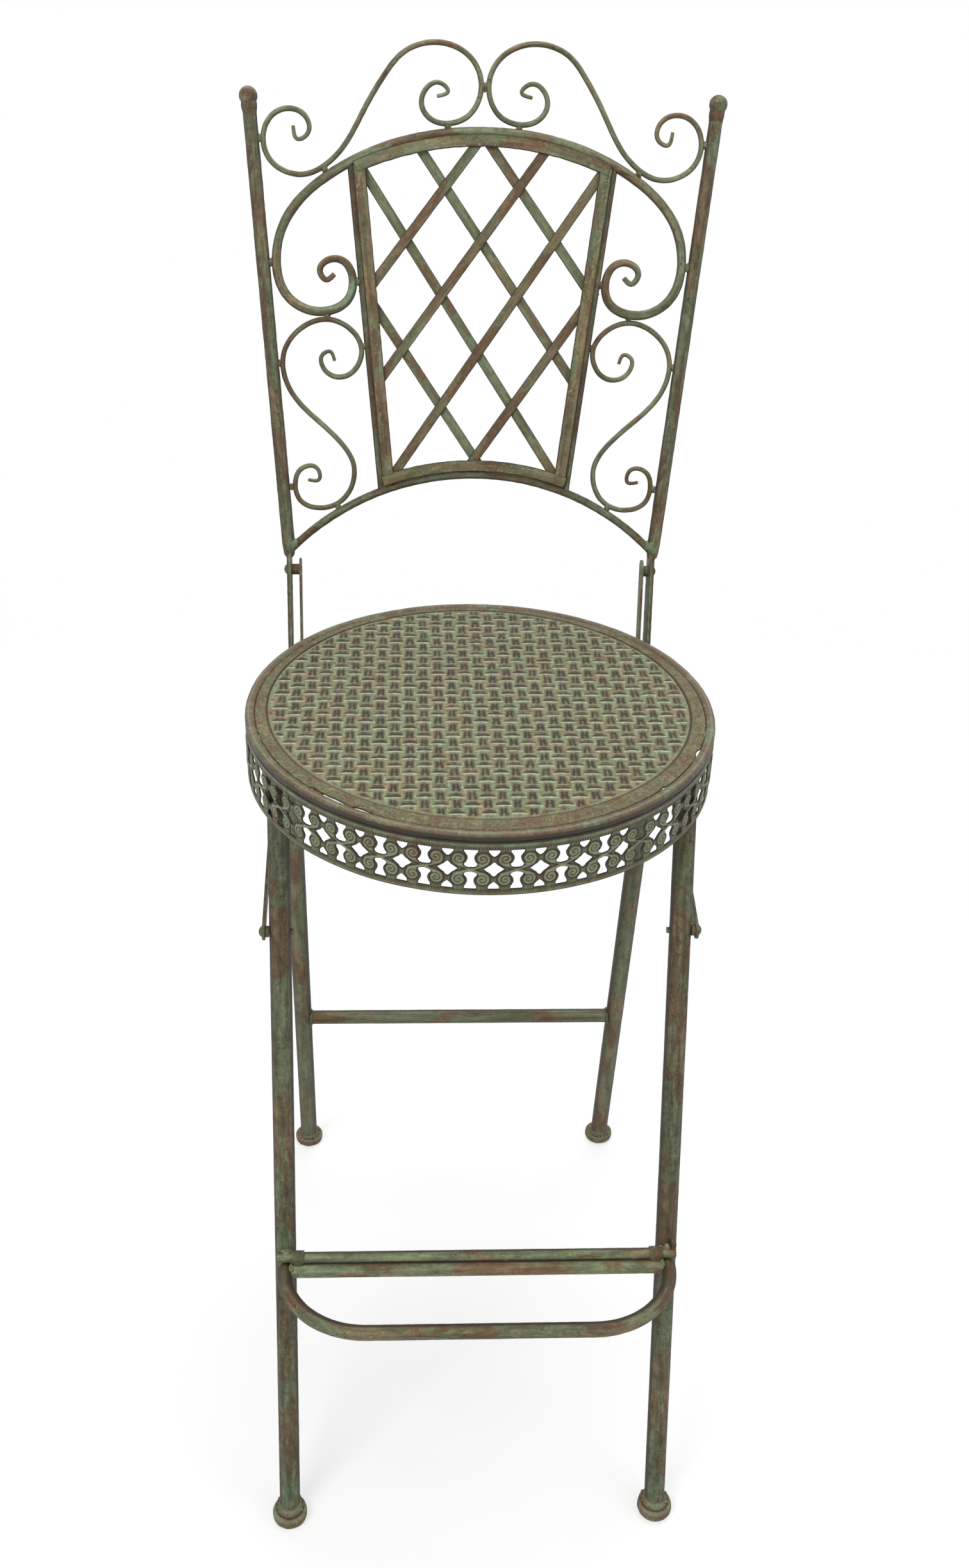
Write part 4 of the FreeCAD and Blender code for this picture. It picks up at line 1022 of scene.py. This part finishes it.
# Vertices next to an opening move onto its edge, and cells inside it are left out
COLUMNS, ROWS = 72, 84
EPS = 0.05
px, pz = np.meshgrid(
    np.linspace(-HALF_UNIT, HALF_UNIT, COLUMNS + 1), np.linspace(APRON_LOW, APRON_HIGH, ROWS + 1))
gap = opening_gap(px, pz)
slope_x = (opening_gap(px + EPS, pz) - gap) / EPS
slope_z = (opening_gap(px, pz + EPS) - gap) / EPS
steepness = np.hypot(slope_x, slope_z) + 1e-6
border = (np.abs(pz - APRON_LOW) < 0.01) | (np.abs(pz - APRON_HIGH) < 0.01)
seam = np.abs(np.abs(px) - HALF_UNIT) < 0.01
moves = (np.abs(gap) < 0.62 * (UNIT_WIDTH / COLUMNS)) & ~border
px = px - np.where(moves & ~seam, gap * slope_x / steepness, 0)
pz = pz - np.where(moves, gap * slope_z / steepness, 0)
gap = opening_gap(px, pz)
solid = (gap > -0.12) | moves
middle_x, middle_z = (sum(corners_of(grid)) / 4 for grid in (px, pz))
solid = np.logical_and.reduce(corners_of(solid)) & (opening_gap(middle_x, middle_z) > 0)
relief, tone = pressed(px, pz, gap)
# Painted shade on the edges of the openings
hole_edge_shade = np.where(gap < 0.15, 0.22, 0.0)

# The units join round the ring: column 0 of each unit is the last column of the one before
total = UNITS * COLUMNS
column = np.arange(total) % COLUMNS
FIRST_UNIT = math.radians(-89.5) + math.pi / UNITS
theta = (px[:, column] + UNIT_WIDTH * (np.arange(total) // COLUMNS)) / APRON_R + FIRST_UNIT
pz, relief, tone, hole_edge_shade = (grid[:, column] for grid in (pz, relief, tone, hole_edge_shade))
wobble = 0.10 * ripple(18, 60.0, APRON_R * np.cos(theta), APRON_R * np.sin(theta), pz)
points = np.stack([
    np.stack([radius * np.cos(theta), radius * np.sin(theta), pz], axis=-1)
    for radius in (APRON_R - 0.25 + relief + wobble, APRON_R - 1.35 + 0.5 * relief + wobble)
]).reshape(-1, 3)
inner_tone = np.clip(0.44 + 0.4 * (tone - 0.5), 0, 1)
tones = np.stack([tone - hole_edge_shade, inner_tone - hole_edge_shade]).ravel()

cells = np.tile(solid, (1, UNITS))
row, column = np.nonzero(cells)
following = (column + 1) % total
a, b = row * total + column, row * total + following
c, d = b + total, a + total
layer = (ROWS + 1) * total
outer_faces = np.stack([a, b, c, d], axis=-1)
faces = [outer_faces, np.stack([a, d, c, b], axis=-1) + layer]
no_cells = np.zeros_like(cells[:1])
for neighbour, first, second in (
    (np.concatenate([no_cells, cells[:-1]]), 0, 1), (np.roll(cells, -1, axis=1), 1, 2),
    (np.concatenate([cells[1:], no_cells]), 2, 3), (np.roll(cells, 1, axis=1), 3, 0),
):
    edge = outer_faces[~neighbour[row, column]]
    p, q = edge[:, first], edge[:, second]
    faces.append(np.stack([q, p, p + layer, q + layer], axis=-1))
faces = np.concatenate(faces)
used = np.zeros(2 * layer, bool)
used[faces.ravel()] = True
renumbered = (np.cumsum(used) - 1)[faces]
points = points[used]
Shell().add(points, points, np.clip(tones[used], 0.02, 0.98), renumbered).build(
    "apron_pierced_sheet", "apron", SEAT, "seat_apron", sharp=50)

# The straps, rivets and lugs keep their solids, with worn edges and the same paint

for name in (
    "seat_tabs", "seat_cross_rails", "seat_hanger_left", "seat_hanger_right", "hanger_rivets",
    "stay_pivot_rivets", "front_pivot_rivets", "stay_nubs", "rod_lug", "stay_left", "stay_right",
    "stay_rivet_left", "stay_rivet_right", "footrest_eyes",
):
    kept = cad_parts[name]
    kept.data.materials.clear()
    kept.data.materials.append(PAINTS["straps"])
    weld = kept.modifiers.new("joined", "WELD")
    weld.merge_threshold = 0.00001
    worn = kept.modifiers.new("worn_edges", "BEVEL")
    worn.width = 0.0004
    worn.segments = 2
    worn.limit_method = "ANGLE"
    worn.angle_limit = math.radians(40)

# Floor, light and camera

scene = bpy.context.scene
floor_mesh = bpy.data.meshes.new("floor")
floor_mesh.from_pydata(
    [(-30, -30, 0), (30, -30, 0), (30, 30, 0), (-30, 30, 0)], [], [(0, 1, 2, 3)])
floor = bpy.data.objects.new("floor", floor_mesh)
scene.collection.objects.link(floor)


def seen_directly(tree):
    """1 for rays of the camera, of reflections and through glass, 0 for light on the object."""
    total = node(tree, "LightPath", out="Is Camera Ray")
    for other in ("Is Glossy Ray", "Is Transmission Ray"):
        total = node(tree, "Math", {0: total, 1: node(tree, "LightPath", out=other)},
                     operation="MAXIMUM")
    return total


# White floor that still takes the chair's soft shadow near the feet
floor_paint = bpy.data.materials.new("floor_white")
floor_paint.use_nodes = True
tree = floor_paint.node_tree
tree.nodes.remove(tree.nodes["Principled BSDF"])
plain = node(tree, "BsdfDiffuse", {"Color": (0.65, 0.65, 0.65, 1)})
lit = node(tree, "BsdfDiffuse", {"Color": (0.5, 0.5, 0.5, 1)})
near_floor = node(tree, "AddShader", {0: lit, 1: node(tree, "Emission", {"Strength": 0.62})})
far_floor = node(tree, "Emission", {"Strength": 1.0})
distance = node(tree, "VectorMath", {0: node(tree, "TexCoord", out="Object")}, operation="LENGTH")
fade = node(tree, "MapRange", {"Value": distance, "From Min": 0.7, "From Max": 2.2},
            interpolation_type="SMOOTHSTEP")
seen_floor = node(tree, "MixShader", {"Fac": fade, 1: near_floor, 2: far_floor})
surface = node(tree, "MixShader", {"Fac": seen_directly(tree), 1: plain, 2: seen_floor})
tree.links.new(surface, tree.nodes["Material Output"].inputs["Surface"])
floor_mesh.materials.append(floor_paint)

# White studio to the camera, dimmer on the object and dimmest from below
world = bpy.data.worlds.new("studio")
scene.world = world
world.use_nodes = True
tree = world.node_tree
height = node(tree, "SeparateXYZ", {"Vector": node(tree, "TexCoord", out="Generated")}, "Z")
fade = node(tree, "MapRange", {
    "Value": height, "From Min": -0.1, "From Max": 0.9, "To Min": 0.16, "To Max": 0.42,
})
strength = node(tree, "Mix", {"Factor": seen_directly(tree), "A": fade, "B": 1.0},
                data_type="FLOAT")
background = tree.nodes["Background"]
background.inputs["Color"].default_value = (1, 1, 1, 1)
tree.links.new(strength, background.inputs["Strength"])

LIT_POINT = Vector((0, 0, 0.7))
for name, location, size, power in (
    ("key", (-1.9, -2.4, 3.3), 1.8, 64), ("fill", (2.6, -1.8, 2.0), 2.0, 20),
    ("top", (0.3, 0.8, 3.6), 1.6, 46),
):
    data = bpy.data.lights.new(name, "AREA")
    data.shape = "SQUARE"
    data.size = size
    data.energy = power
    lamp = bpy.data.objects.new(name, data)
    scene.collection.objects.link(lamp)
    lamp.location = location
    lamp.rotation_euler = (LIT_POINT - Vector(location)).to_track_quat("-Z", "Y").to_euler()

YAW, PITCH, ROLL = 0.0525, 0.5602, 0.0277
CAMERA_PLACE = (-0.08825, -1.276223, 1.4584)
forward = Vector((
    math.sin(YAW) * math.cos(PITCH), math.cos(YAW) * math.cos(PITCH), -math.sin(PITCH)))
level = Vector((math.cos(YAW), -math.sin(YAW), 0.0))
upward = level.cross(forward)
right_axis = level * math.cos(ROLL) + upward * math.sin(ROLL)
up_axis = -level * math.sin(ROLL) + upward * math.cos(ROLL)
attitude = Matrix((right_axis, up_axis, -forward)).transposed().to_4x4()
camera_data = bpy.data.cameras.new("camera")
camera_data.sensor_fit = "VERTICAL"
camera_data.sensor_height = 36.0
camera_data.lens = 36.911
camera_data.shift_x = 0.01625
camera_data.shift_y = 0.01155
camera_data.clip_end = 100.0
camera = bpy.data.objects.new("camera", camera_data)
scene.collection.objects.link(camera)
camera.matrix_world = Matrix.Translation(CAMERA_PLACE) @ attitude
scene.camera = camera

scene.view_settings.view_transform = "Standard"

bpy.context.view_layer.update()
